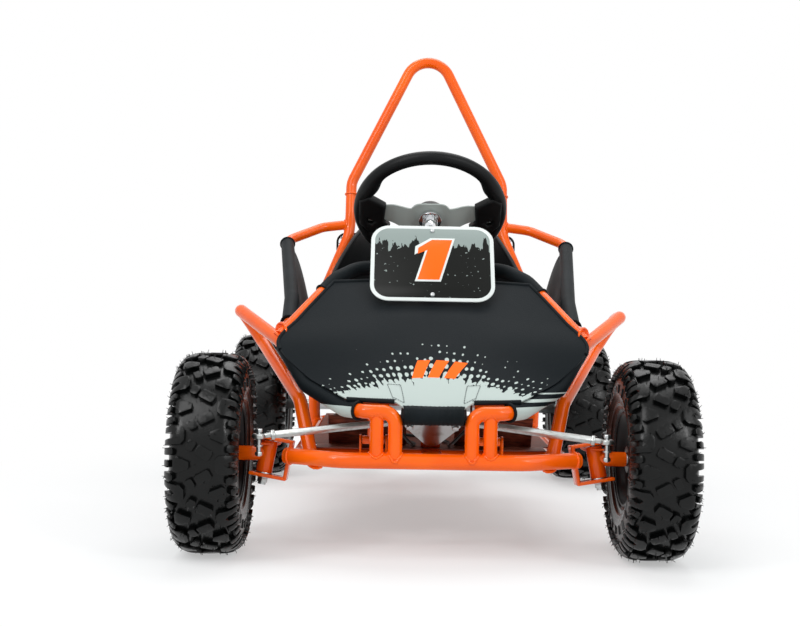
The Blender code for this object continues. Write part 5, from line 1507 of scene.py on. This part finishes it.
def cushions():
    """Two plump pads with piping round them."""
    for name, low, high, thickness, node in (
        ("seat_pad", 0.105, 0.37, 0.042, "seat_cushion"),
        ("backrest_pad", 0.56, 0.97, 0.036, "backrest_cushion"),
    ):
        pad = plumped(cushion_shape(low, high, thickness))
        smooth = pad.modifiers.new("smooth", "SUBSURF")
        smooth.levels = 1
        smooth.render_levels = 1
        pad = applied(pad)
        made = piece(name, [pad], CLOTH, nodes=(node,), angle=70)
        piping = rope(rim_of(low, high, thickness, 0.93), 0.0042, 3, True)
        piece(f"{name}_piping", [piping], CLOTH, angle=60)


def straight_value(values, share):
    """The value a share of the way along a list, on straight lines."""
    first, t = step_of(values, share)
    return [a + (b - a) * t for a, b in zip(values[first], values[first + 1])]


ARM_PAD_FOOT = [(0.264, HOOP_Y - 0.078, 0.235), (0.263, 0.340, 0.172), (0.266, 0.196, 0.160)]


def arm_pad_point(side):
    def where(u, w):
        top = straight_value(ARM[2:5], 0.06 + 0.90 * u)
        foot = straight_value(ARM_PAD_FOOT, u)
        drop = w**0.55
        fold = 0.0022 * math.sin(u * 21) * math.sin(math.pi * w)
        return at(
            side * (top[0] + (foot[0] - top[0]) * drop - fold), top[1] + (foot[1] - top[1]) * w,
            top[2] + (foot[2] - top[2]) * w
        )

    return where


def span(where, across, count=40):
    """The length over a surface from one edge to the other, halfway up or across it."""
    points = [where(i / count, 0.5) if across else where(0.5, i / count) for i in range(count + 1)]
    return sum((b - a).length for a, b in zip(points, points[1:]))


def area_of(where, count=40):
    """The area of a surface, from its points."""
    total = 0.0
    for i in range(count):
        for j in range(count):
            corner = where(i / count, j / count)
            along = where((i + 1) / count, j / count) - corner
            total += along.cross(where(i / count, (j + 1) / count) - corner).length
    return total


def arm_pads():
    """Padded cloth panel on each arm rail, hung from a laced sleeve round the tube."""
    for name, side in SIDES:
        arm = ARM_PATHS[side]
        ends = (at(side * 0.316, HOOP_Y - 0.094, 0.396), at(side * 0.2730, 0.186, 0.2270))
        first, last = (min(range(len(arm)), key=lambda i: (arm[i] - end).length) for end in ends)
        covered = arm[first : last + 1]
        where = arm_pad_point(side)
        parts = [surface(72, 24, where, 0.0080), rope(covered, RAIL_TUBE + 0.0075, 8)]
        parts += [collar(line, RAIL_TUBE / 2 + 0.0042, 0.0045, 0.002) for line in (covered, covered[::-1])]
        parts.append(rope([where(i / 40, 0.985) for i in range(41)], 0.0100, 5))
        made = piece(f"arm_panel_{name}", parts, CLOTH, nodes=(f"arm_pad_{name}",), angle=60)
        length = span(where, True)
        height = span(where, False)


FAIRING_MIDDLE = [
    (-0.0885, 0.1010), (-0.048, 0.1340), (0.005, 0.1735), (0.062, 0.2150), (0.110, 0.2490), (0.160, 0.2840),
    (0.205, 0.3145)
]
FAIRING_EDGE = [
    (0.150, -0.0605, 0.1035), (0.178, -0.0380, 0.1150), (0.228, 0.0020, 0.1400), (0.281, 0.0520, 0.1930),
    (0.246, 0.1060, 0.2400), (0.210, 0.1560, 0.2830), (0.188, 0.1860, 0.3080)
]


LEG_SLEEVE = SIDE_TUBE + 0.0045
DASH_SLEEVE = SIDE_TUBE + 0.0040


def fairing_point(u, w):
    """A place on the nose fairing: u across, w from the bottom hem to the top."""
    across = 2 * u - 1
    y, h = eased_value(FAIRING_MIDDLE, w)
    edge_x, edge_y, edge_h = eased_value(FAIRING_EDGE, w)
    share = abs(across) ** 1.6
    crown = 0.004 * math.sin(math.pi * w) * (1 - across**2)
    hem = 0.0110 * (1 - w) ** 8 * min(1, max(0, (0.44 - abs(across)) / 0.10))
    return at(
        across * edge_x, y + (edge_y - y) * share - crown * 0.6,
        h + (edge_h - h) * share + crown * 0.8 - hem
    )


def nose_fairing():
    """Cloth stretched over the nose tubes, piped along its sides, its hem rolled between the legs."""
    skin = coated(surface(120, 84, fairing_point, 0.0026), NOSE_CLOTH)
    lines = []
    for u in (0.0, 1.0):
        lines.append(rope([fairing_point(u, 0.47 + 0.53 * i / 40) for i in range(41)], 0.0075, 5))
    lines.append(rope([fairing_point(i / 60, 1.0) for i in range(61)], 0.0080, 5))
    wraps = []
    for _, side in SIDES:
        low = stretch(GUARD_PATHS[side], at(side * 0.128, -0.068, 0.086), at(side * 0.272, 0.072, 0.190), 36)
        edge_u = 0.5 + 0.485 * side
        wrap = rope(low, LEG_SLEEVE, 8)
        rise = low[-1].z - low[0].z
        wraps.append(printed(wrap, lambda v: (edge_u, 0.12 + 0.36 * (v.z - low[0].z) / rise)))
        lines.append(collar(low, SIDE_TUBE / 2 + 0.0025, 0.0055))
    top = stretch(DASH_PATH, at(0.208, 0.178, 0.288), at(-0.208, 0.178, 0.288), 60)
    lines.append(rope(top, DASH_SLEEVE, 8))
    lines += [collar(line, SIDE_TUBE / 2 + 0.0020, 0.0045) for line in (top, top[::-1])]
    half = NOSE_INNER_X - SIDE_TUBE / 2 - 0.001
    roll = []
    for i in range(49):
        share = i / 48
        roll.append(at(-half + 2 * half * share, NOSE_Y - 0.001 + 0.0006 * math.sin(i * 1.9), 0.0795))
    lines.append(rope(roll, 0.0345, 8, False, lambda number: 1 - 0.035 * abs(math.sin(number * 0.9))))
    inner = NOSE_INNER_X + 0.002
    outer = FAIRING_EDGE[0][0]
    for side in (-1, 1):
        reach = (inner, (inner + outer) / 2, outer)
        lines.append(rope([fairing_point(0.5 + side * x / (2 * outer), 0.004) for x in reach], 0.0080, 5))
    for line in lines:
        coated(line, CLOTH)
    for wrap in wraps:
        coated(wrap, NOSE_CLOTH)
    made = piece("nose_cover", [skin, *wraps, *lines], NOSE_CLOTH, nodes=("nose_fairing",), angle=60)
    sleeves = math.pi * (2 * LEG_SLEEVE * length_of(low) + DASH_SLEEVE * length_of(top))
    wide = span(fairing_point, True) * 1.08 + 0.10
    tall = span(fairing_point, False) * 1.10 + 0.05
    cut_area = area_of(fairing_point) * 1.08 + sleeves
    print("nose cover cut", round(wide, 3), round(tall, 3), round(cut_area, 4))
    stitches()


def stitches():
    """Two boxes of stitching low on the nose and a row along the hem."""
    low = 0.035
    high = 0.16
    chains = [[(u0, 0.022), (u1, 0.022)] for u0, u1 in ((0.06, 0.29), (0.71, 0.94))]
    for left, right in ((0.27, 0.335), (0.665, 0.73)):
        chains.append([(left, low), (right, low), (right, high), (left, high), (left, low)])
    out = Vector((0, -0.0016, 0.0018))
    parts = []
    for chain in chains:
        for (u0, w0), (u1, w1) in zip(chain, chain[1:]):
            length = (fairing_point(u1, w1) - fairing_point(u0, w0)).length
            count = max(3, round(length / 0.0045))
            for i in range(count):
                start, end = (
                    fairing_point(u0 + (u1 - u0) * share, w0 + (w1 - w0) * share)
                    for share in ((i + 0.15) / count, (i + 0.85) / count)
                )
                parts.append(rope([start + out * 0.7, (start + end) / 2 + out, end + out * 0.7], 0.0009, 1))
    piece("nose_stitches", parts, THREAD, angle=60)


# Engine and drive


def engine_guard():
    """Welded wire mesh on a rod frame. The real mesh is finer than the solid grille."""
    half = 0.210
    low = 0.1525
    height = 0.276
    y = HOOP_Y + HOOP_TUBE / 2 + 0.0030
    corner = 0.022
    rod = 0.0025
    wire = 0.0020
    pitch = 0.0125
    outline = [(-half + rod, rod), (half - rod, rod)]
    outline += arc((half - corner, height - corner), corner - rod, 0, math.pi / 2, 8)
    outline += arc((-half + corner, height - corner), corner - rod, math.pi / 2, math.pi, 8)
    parts = [rope([at(x, y, low + z) for x, z in outline], 0.0052, 4, True)]

    def within(place, edge, other):
        """How far a wire may reach the other way, when it stands at a place near a rounded corner."""
        over = place - (edge - corner)
        if over <= 0:
            return other - rod
        return other - corner + math.sqrt(max(corner**2 - over**2, 0)) - rod

    columns = round(2 * half / pitch)
    for i in range(1, columns):
        x = -half + 2 * half * i / columns
        top = within(abs(x), half, height)
        parts.append(rope([at(x, y - 0.0009, low + rod), at(x, y - 0.0009, low + top)], wire, 1))
    rows = round(height / pitch)
    for j in range(1, rows):
        z = height * j / rows
        reach = within(z, height, half)
        parts.append(rope([at(-reach, y + 0.0009, low + z), at(reach, y + 0.0009, low + z)], wire, 1))
    piece("guard_mesh", parts, WIRE, nodes=("engine_guard",), angle=50)


ENGINE_Y = WHEELBASE - 0.160
ENGINE_H = 0.122


def engine_case():
    """Crankcase with the starter's slatted cover."""
    low = 0.0558
    high = 0.190
    deep = 0.140
    case = block((0.153, deep, high - low), level_at(0.0015, ENGINE_Y + deep / 2, (high + low) / 2), 0.012, 4)
    start = at(-0.070, ENGINE_Y + 0.075, ENGINE_H + 0.003)
    profile = [(0, 0.038), (0.030, 0.038), (0.052, 0.034), (0.060, 0.024), (0.060, 0.0), (0, 0.0)]
    parts = [case, turned(profile, matrix_of(start, -ACROSS), 56)]
    for i in range(-4, 5):
        reach = math.sqrt(0.040**2 - (i * 0.009) ** 2)
        centre = start + Vector((-0.0382, 0, i * 0.009))
        parts.append(block((0.0016, 2 * reach, 0.0040), Matrix.Translation(centre), 0.0006, 1))
    for x in (-0.060, 0.062):
        for z in (0.180, 0.068):
            parts.append(nut(at(x, ENGINE_Y - 0.002, z), BACK, 0.006, 0.0052))
    for y, z in circle(0.0545, 4, start=math.pi / 4):
        parts.append(nut(start + Vector((-0.0225, y, z)), -ACROSS, 0.0030, 0.0042))
    piece("engine_case", parts, ENGINE_PAINT, nodes=("crankcase",))


def engine_barrel():
    """Finned cylinder with its head to the front."""
    root = 0.035
    crest = 0.0455
    profile = [(0, 0.0), (root, 0.0)]
    for i in range(9):
        low = -0.0015 - i * 0.0069
        profile += [(root, low), (crest, low - 0.0012), (crest, low - 0.0032), (root, low - 0.0046)]
    end = -0.065
    profile += [(root, end), (0.040, end - 0.001), (0.044, end - 0.020)]
    profile += [(0.030, end - 0.027), (0, end - 0.027)]
    foot = at(0, ENGINE_Y - 0.0003, ENGINE_H)
    parts = [turned(profile, matrix_of(foot, BACK, ACROSS), 56)]
    for x, z in circle(0.032, 4, start=math.pi / 4):
        parts.append(nut(foot + Vector((x, end - 0.026, z)), -BACK, 0.001, 0.0050, 0.006))
    piece("engine_barrel", parts, ENGINE_PAINT, nodes=("cylinder",))


def carburettor():
    """Carburettor with its intake pipe and float bowl, and the air filter behind it."""
    height = 0.217
    intake = ENGINE_Y - 0.080
    route = [at(0, intake, ENGINE_H + 0.0448), at(0, intake, height), at(0, ENGINE_Y - 0.05, height)]
    screw = bar(at(0.020, ENGINE_Y - 0.045, 0.222), at(0.0235, ENGINE_Y - 0.045, 0.222), 0.0045, 20)
    parts = [
        block((0.040, 0.046, 0.048), level_at(0, ENGINE_Y - 0.045, height), 0.004, 3),
        rope(rounded(route, 0.02), 0.024), *plated([screw]),
        bar(at(0, ENGINE_Y - 0.043, 0.200), at(0, ENGINE_Y - 0.043, 0.182), 0.015, 32, edge=0.003)
    ]
    piece("carburettor_body", parts, CAST, nodes=("carburettor",))
    side = 0.0296
    groove = 0.0282
    profile = [(0, 0.072), (0.024, 0.072), (0.028, 0.070), (side, 0.0665)]
    for i in range(9):
        low = 0.062 - i * 0.006
        profile += [(side, low), (groove, low - 0.0015), (groove, low - 0.0030), (side, low - 0.0045)]
    profile += [(0.0290, 0.007), (0.024, 0.004), (0.016, 0.0), (0, 0.0)]
    can = turned(profile, matrix_of(at(0, ENGINE_Y - 0.0217, 0.225), BACK, ACROSS), 48)
    piece("filter_can", [can], BLACK_PLASTIC, nodes=("air_filter",))


def exhaust():
    """Pipe from the head to a can beside the rear axle."""
    head_y = WHEELBASE - 0.239
    x = -0.137
    start = WHEELBASE - 0.025
    path = [at(-0.0450, head_y, ENGINE_H), at(x, head_y, ENGINE_H), at(x, start, ENGINE_H + 0.003)]
    profile = [
        (0, 0.220), (0.0058, 0.220), (0.0080, 0.2195), (0.0080, 0.202), (0.030, 0.202), (0.0345, 0.199),
        (0.0370, 0.193), (0.0370, 0.188), (0.0360, 0.186), (0.0360, 0.034), (0.0370, 0.032),
        (0.0370, 0.026), (0.0340, 0.018), (0.026, 0.010), (0.012, 0.0), (0, 0.0)
    ]
    parts = [
        rope(rounded(path, 0.035), 0.024, 8),
        block((0.0045, 0.046, 0.034), level_at(-0.0475, head_y, ENGINE_H), 0.0015),
        turned(profile, matrix_of(at(x, start - 0.006, ENGINE_H + 0.003), BACK, ACROSS), 48)
    ]
    piece("exhaust_pipe", parts, ENGINE_PAINT, nodes=("exhaust",))


def fuel_tank():
    """Moulded tank with a seam, two straps and a ribbed cap."""
    wide, deep, high = (0.098, 0.165, 0.120)
    x = -0.2365
    base_h = REAR_RAIL_TOP + 0.0046
    centre = at(x, WHEELBASE - 0.152, base_h + high / 2)
    parts = [
        block((wide, deep, high), Matrix.Translation(centre), 0.014, 5),
        block((wide + 0.003, deep + 0.003, 0.003), Matrix.Translation(centre + UP * 0.012), 0.0008, 1)
    ]
    cap = at(x, WHEELBASE - 0.190, base_h + high)
    parts += stack(cap, UP, ((-0.005, 0.016, 0.0215, 40, None, 0.002),))
    for a, b in circle(0.0213, 20):
        parts += stack(cap + Vector((a, b, 0)), UP, ((0.001, 0.0145, 0.0014, 6, None, 0),))
    for y in (-0.045, 0.045):
        strap = Matrix.Translation(centre + Vector((0, y, 0.0008)))
        parts.append(block((wide + 0.0036, 0.018, high + 0.0022), strap, 0.014, 5))
    piece("petrol_tank", parts, BLACK_PLASTIC, nodes=("fuel_tank",))


CHAIN_PITCH = 0.0127
TOOTH = 0.0032
TOOTH_LINE = (
    (-0.44, -0.0032), (-0.30, -0.0034), (-0.14, 0.0004), (-0.05, 0.0030), (0.05, 0.0030), (0.14, 0.0004),
    (0.30, -0.0034)
)
REAR_TEETH = 37
DRIVE_TEETH = 10
CHAIN_X = 0.095
DRIVE = at(CHAIN_X, WHEELBASE - 0.085, 0.1225)
DRIVEN = at(CHAIN_X, WHEELBASE, 0)


def pitch_radius(teeth):
    return CHAIN_PITCH / (2 * math.sin(math.pi / teeth))


def sprocket(teeth, thickness, bore, matrix, windows=0):
    """Toothed plate with rounded roots, and windows in its web."""
    radius = pitch_radius(teeth)
    outline = []
    for i in range(teeth):
        for share, reach in TOOTH_LINE:
            turn = math.tau * (i + share) / teeth
            outline.append(((radius + reach) * math.cos(turn), (radius + reach) * math.sin(turn)))
    holes = [circle(bore, 32)] if bore else []
    for i in range(windows):
        turn = math.tau * i / windows
        centre = (radius * 0.66 * math.cos(turn), radius * 0.66 * math.sin(turn))
        holes.append(circle(radius * 0.17, 20, centre))
    return flat(outline, thickness, matrix, 0.0005, holes)


def belt(first, first_radius, second, second_radius, count=40):
    """The outline drawn tight round two circles."""
    a = Vector(first)
    b = Vector(second)
    heading = math.atan2(b.y - a.y, b.x - a.x)
    spread = math.acos((first_radius - second_radius) / (b - a).length)
    outline = []
    for i in range(count + 1):
        t = heading + spread + (math.tau - 2 * spread) * i / count
        outline.append((a.x + first_radius * math.cos(t), a.y + first_radius * math.sin(t)))
    for i in range(count // 2 + 1):
        t = heading - spread + 2 * spread * i / (count // 2)
        outline.append((b.x + second_radius * math.cos(t), b.y + second_radius * math.sin(t)))
    return outline


def even_points(outline, count):
    """Points evenly spaced round a closed outline."""
    corners = [Vector(p) for p in outline]
    corners.append(corners[0])
    lengths = [(b - a).length for a, b in zip(corners, corners[1:])]
    total = sum(lengths)
    points = []
    reached = 0.0
    index = 0
    for i in range(count):
        wanted = total * i / count
        while reached + lengths[index] < wanted:
            reached += lengths[index]
            index += 1
        share = (wanted - reached) / lengths[index]
        points.append(corners[index].lerp(corners[index + 1], share))
    return points


def over_sprockets(more, count=40):
    """The outline round both sprockets, at a height over their pitch circles, in the chain's plane."""
    small = (DRIVE.y - DRIVEN.y, DRIVE.z - DRIVEN.z)
    return belt((0, 0), pitch_radius(REAR_TEETH) + more, small, pitch_radius(DRIVE_TEETH) + more, count)


def chain(local):
    """Pins and side plates, one pair of plates a pitch."""
    line = over_sprockets(TOOTH + 0.0035)
    corners = [Vector(p) for p in line]
    count = 2 * round(length_of([*corners, corners[0]]) / CHAIN_PITCH / 2)
    points = even_points(line, count)
    parts = []
    for i, a in enumerate(points):
        run = points[(i + 1) % count] - a
        turn = Matrix.Rotation(math.atan2(run.y, run.x), 4, "Z")
        link = shifted(local, a.x + run.x / 2, a.y + run.y / 2) @ turn
        reach = 0.0031 if i % 2 else 0.0019
        for z in (-reach, reach):
            parts.append(block((run.length + 0.0045, 0.0042, 0.0010), shifted(link, z=z), 0.0009, 1))
        parts += stack(local @ Vector((a.x, a.y, 0)), ACROSS, ((-0.0043, 0.0043, 0.0019, 10, None, 0),))
    piece("roller_chain", parts, CHAIN_STEEL, nodes=("chain",), angle=40)


def chain_hood(local):
    """The guard over the chain's upper run, with its stay, foot and bolt."""
    back = DRIVE.y - DRIVEN.y
    up = DRIVE.z - DRIVEN.z
    slope = math.atan2(-up, -back)
    lines = []
    for more in (0.0200, 0.0175):
        line = [
            (a, b) for a, b in over_sprockets(more, 64)
            if (b - up / 2) * math.cos(slope) - (a - back / 2) * math.sin(slope) > 0.018
        ]
        first = max(range(len(line)), key=lambda i: math.dist(line[i], line[i - 1]))
        lines.append(line[first:] + line[:first])
    outline = [*lines[0], *lines[1][::-1]]
    stay_y = WHEELBASE + 0.030
    foot_h = REAR_RAIL_TOP + 0.0003
    parts = [
        flat(outline, 0.0276, shifted(local, z=0.003), 0.0005),
        flat(outline, 0.0022, shifted(local, z=0.0155), 0.0004),
        block((0.0024, 0.020, 0.027), level_at(CHAIN_X + 0.01575, stay_y, foot_h + 0.0130), 0.0004),
        block((0.062, 0.020, 0.0026), level_at(CHAIN_X + 0.0455, stay_y, foot_h + 0.0015), 0.0004),
        nut(at(CHAIN_X + 0.066, stay_y, foot_h + 0.0026), UP, 0.004, 0.0050)
    ]
    piece("chain_hood", parts, BLACK_PLASTIC, nodes=("chain_guard",))


def drive():
    """Roller chain on its two sprockets, with a guard over the upper run."""
    local = upright_at(DRIVEN)
    chain(local)
    chain_hood(local)
    wheel = [sprocket(REAR_TEETH, 0.0056, AXLE_BORE, local, 6)]
    wheel += plated(stack(DRIVEN, ACROSS, ((-0.012, 0.012, 0.0215, 40, None, 0.0012),)))
    piece("driven_sprocket", wheel, CHAIN_STEEL, "rear_axle", ("axle_sprocket",))
    small = [sprocket(DRIVE_TEETH, 0.0056, 0, upright_at(DRIVE))]
    small += plated(stack(DRIVE, ACROSS, ((-0.027, 0.005, 0.0083),)))
    piece("driving_sprocket", small, CHAIN_STEEL, "output_sprocket", ("drive_sprocket",))


def rear_axle():
    """Axle shaft with its hubs and nuts, the drilled disc and the carriers."""
    hub_x = REAR_HUB.x
    parts = stack(at(0, WHEELBASE, 0), ACROSS, ((-hub_x - 0.026, hub_x + 0.026, 0.0124, 40),))
    for _, side in SIDES:
        parts += stack(at(0, WHEELBASE, 0), ACROSS * side, (
            (hub_x - 0.050, hub_x + 0.003, 0.0255, 40, None, 0.0015),
            (hub_x + 0.0125, hub_x + 0.0150, 0.0170, 36), (hub_x + 0.0150, hub_x + 0.023, 0.0170, 6)
        ))
    piece("axle_tube", parts, ZINC, "rear_axle", ("axle_shaft",))
    place = at(DISC_X, WHEELBASE, 0)
    holes = [circle(AXLE_BORE, 32)]
    for ring, first in ((0.060, 0.0), (0.050, math.pi / 16)):
        holes += [circle(0.0034, 10, centre) for centre in circle(ring, 16, start=first)]
    disc = [flat(circle(0.0750, 96), 0.0038, upright_at(place), 0.0005, holes)]
    disc += stack(place, ACROSS, ((-0.012, 0.012, 0.0215, 40, None, 0.0012),))
    piece("drilled_disc", disc, ZINC, "rear_axle", ("brake_disc",))
    rail_low = REAR_RAIL_H - MAIN_TUBE / 2
    for name, side in SIDES:
        x = side * REAR_HALF
        body = level_at(x, WHEELBASE, (rail_low - 0.0343) / 2)
        parts = [block((0.0195, 0.069, rail_low + 0.0337), body, 0.002)]
        parts += stack(at(x, WHEELBASE, 0), ACROSS, ((-0.014, 0.014, 0.0212, 40, None, 0.0012),))
        for y in (-0.025, 0.025):
            parts += stack(at(x, WHEELBASE + y, 0), ACROSS, ((-0.013, 0.013, 0.0050, 6),))
        piece(f"axle_bearing_{name}", parts, ZINC, nodes=(f"axle_carrier_{name}",))


def caliper():
    """Two halves over the disc, their bridge, and the arm to the rail."""
    y = WHEELBASE + 0.069
    height = 0.020
    parts = []
    for x in (DISC_X - 0.0125, DISC_X + 0.0125):
        parts.append(block((0.0185, 0.046, 0.052), level_at(x, y, height), 0.004, 3))
    parts.append(block((0.010, 0.012, 0.050), level_at(DISC_X, y + 0.0165, height), 0.002))
    outer = -REAR_HALF + MAIN_TUBE / 2 + 0.0003
    inner = DISC_X - 0.015
    arm = level_at((inner + outer) / 2, y + 0.012, REAR_RAIL_H)
    parts.append(block((inner - outer, 0.020, 0.012), arm, 0.0015))
    for z in (0.006, 0.034):
        parts.append(nut(at(-0.117, y + 0.004, z), -ACROSS, 0.004, 0.0048))
    piece("caliper_body", parts, CAST, nodes=("brake_caliper",))


# Cables

CABLE = 0.006
THROTTLE_ROUTE = [
    (-0.079, 0.052, 0.052), (-0.060, 0.040, 0.040), (-0.041, 0.048, 0.020), (-0.034, 0.078, 0.010),
    (-0.034, 0.130, 0.0086), (-0.090, 0.240, 0.0086), (-0.180, 0.340, 0.0086), (-0.205, 0.440, 0.0086),
    (-0.205, 0.620, 0.0086), (-0.180, 0.715, 0.0110), (-0.128, 0.765, 0.0300), (-0.092, 0.786, 0.0620),
    (-0.078, 0.800, 0.1000), (-0.070, 0.806, 0.1600), (-0.048, 0.806, 0.2080), (-0.0206, 0.806, 0.2170)
]
BRAKE_ROUTE = [
    (0.079, 0.052, 0.052), (0.060, 0.040, 0.040), (0.041, 0.048, 0.020), (0.034, 0.078, 0.010),
    (0.034, 0.140, 0.0086), (0.000, 0.215, 0.0086), (-0.090, 0.300, 0.0086), (-0.165, 0.380, 0.0086),
    (-0.190, 0.460, 0.0086), (-0.190, 0.620, 0.0086), (-0.152, 0.715, 0.0086), (-0.132, 0.790, 0.0080),
    (-0.130, 0.880, 0.0080), (-0.130, 0.950, 0.0140), (-0.130, 1.010, 0.0230), (-0.130, 1.070, 0.0200),
    (-0.122, 1.116, 0.0160), (-0.106, 1.122, 0.0150), (-0.096, 1.1045, 0.0150)
]


def cables():
    """Two sheaths along their routes, with a ferrule at each end."""
    for name, route in (("throttle", THROTTLE_ROUTE), ("brake", BRAKE_ROUTE)):
        path = smooth_route([at(*point) for point in route], 8)
        parts = [rope(path, CABLE, 4)]
        for place, ahead in ((path[0], path[3]), (path[-1], path[-4])):
            parts += plated(stack(place, (ahead - place).normalized(), ((0, 0.014, 0.0038, 16),)))
        piece(f"{name}_sheath", parts, HOSE_PLASTIC, nodes=(f"{name}_cable",), angle=60)


# Stage


def stage():
    """White floor that fades to plain white, three broad lamps and two small ones for glints."""
    scene = bpy.context.scene
    scene.view_settings.view_transform = "Standard"
    world = bpy.data.worlds.new("room")
    world.use_nodes = True
    sky = world.node_tree
    path = add(sky, "LightPath")
    seen = path.outputs["Is Camera Ray"]
    for ray in ("Is Glossy Ray", "Is Transmission Ray"):
        seen = maths(sky, "MAXIMUM", seen, path.outputs[ray])
    level = add(sky, "MapRange", {"Value": seen, "To Min": 0.42, "To Max": 1.0}).outputs["Result"]
    white_sky = add(sky, "Background", {"Color": linear("FFFFFF"), "Strength": level})
    sky.links.new(white_sky.outputs[0], sky.nodes["World Output"].inputs["Surface"])
    scene.world = world
    bpy.ops.mesh.primitive_plane_add(size=60, location=(0, 20, 0))
    floor = bpy.context.object
    floor.name = "floor"
    made = bpy.data.materials.new("white_floor")
    made.use_nodes = True
    tree = made.node_tree
    shader = tree.nodes["Principled BSDF"]
    shader.inputs["Base Color"].default_value = linear("F0F3F4")
    shader.inputs["Roughness"].default_value = 0.9
    white = add(tree, "Emission", {"Color": linear("FFFFFF"), "Strength": 1.0})
    place = mapped(tree, add(tree, "TexCoord").outputs["Object"], Location=(0, 15, 0), Scale=(1, 0.75, 1))
    reach = add(tree, "VectorMath", {0: place}, operation="LENGTH").outputs["Value"]
    fade = add(
        tree, "MapRange", {"Value": reach, "From Min": 0.5, "From Max": 1.15, "To Min": 0.4, "To Max": 1.0},
        interpolation_type="SMOOTHSTEP"
    ).outputs["Result"]
    mix = add(tree, "MixShader", {0: fade, 1: shader.outputs[0], 2: white.outputs[0]})
    tree.links.new(mix.outputs[0], tree.nodes["Material Output"].inputs["Surface"])
    floor.data.materials.append(made)
    for name, place_at, aim, size, energy in (
        ("key", (-1.6, -2.4, 3.2), (0, 0, 0.3), 2.2, 62), ("fill", (2.4, -2.2, 2.0), (0, 0, 0.3), 2.4, 32),
        ("top", (0.2, 0.9, 3.4), (0, 0, 0.4), 2.6, 56),
        ("left_glint", (-2.2, -2.6, 1.9), (0, -0.4, 0.3), 0.35, 16),
        ("right_glint", (1.9, -2.9, 2.3), (0, -0.4, 0.3), 0.35, 16)
    ):
        bpy.ops.object.light_add(type="AREA", location=place_at)
        lamp = bpy.context.object
        lamp.name = name
        lamp.data.size = size
        lamp.data.energy = energy
        lamp.rotation_euler = (Vector(aim) - Vector(place_at)).to_track_quat("-Z", "Y").to_euler()


def camera():
    """Matched to the photo's low, almost square-on view of the nose."""
    yaw = 0.0049
    pitch = -0.0159
    roll = 0.0180
    ahead = Vector((math.sin(yaw) * math.cos(pitch), math.cos(yaw) * math.cos(pitch), math.sin(pitch)))
    right = Vector((math.cos(yaw), -math.sin(yaw), 0))
    up = Vector((-math.sin(yaw) * math.sin(pitch), -math.cos(yaw) * math.sin(pitch), math.cos(pitch)))
    right, up = right * math.cos(roll) + up * math.sin(roll), up * math.cos(roll) - right * math.sin(roll)
    matrix = Matrix((right, up, -ahead)).transposed().to_4x4()
    matrix.translation = (-0.07224, -2.81806, 0.46641)
    bpy.ops.object.camera_add()
    made = bpy.context.object
    made.matrix_world = matrix
    made.data.lens = 57.866
    made.data.sensor_width = 36
    made.data.dof.use_dof = False
    bpy.context.scene.camera = made


def main():
    frame_tubes()
    front_beam()
    kingpins()
    floor_parts()
    column_foot()
    engine_mount()
    wheels()
    front_end()
    tie_rods()
    steering_column()
    steering_wheel()
    number_plate()
    pedals()
    seat_shell()
    cushions()
    arm_pads()
    nose_fairing()
    engine_guard()
    engine_case()
    engine_barrel()
    carburettor()
    exhaust()
    fuel_tank()
    drive()
    rear_axle()
    caliper()
    cables()
    piece("weld_beads", WELDS, POWDER, angle=60)
    stage()
    camera()


main()
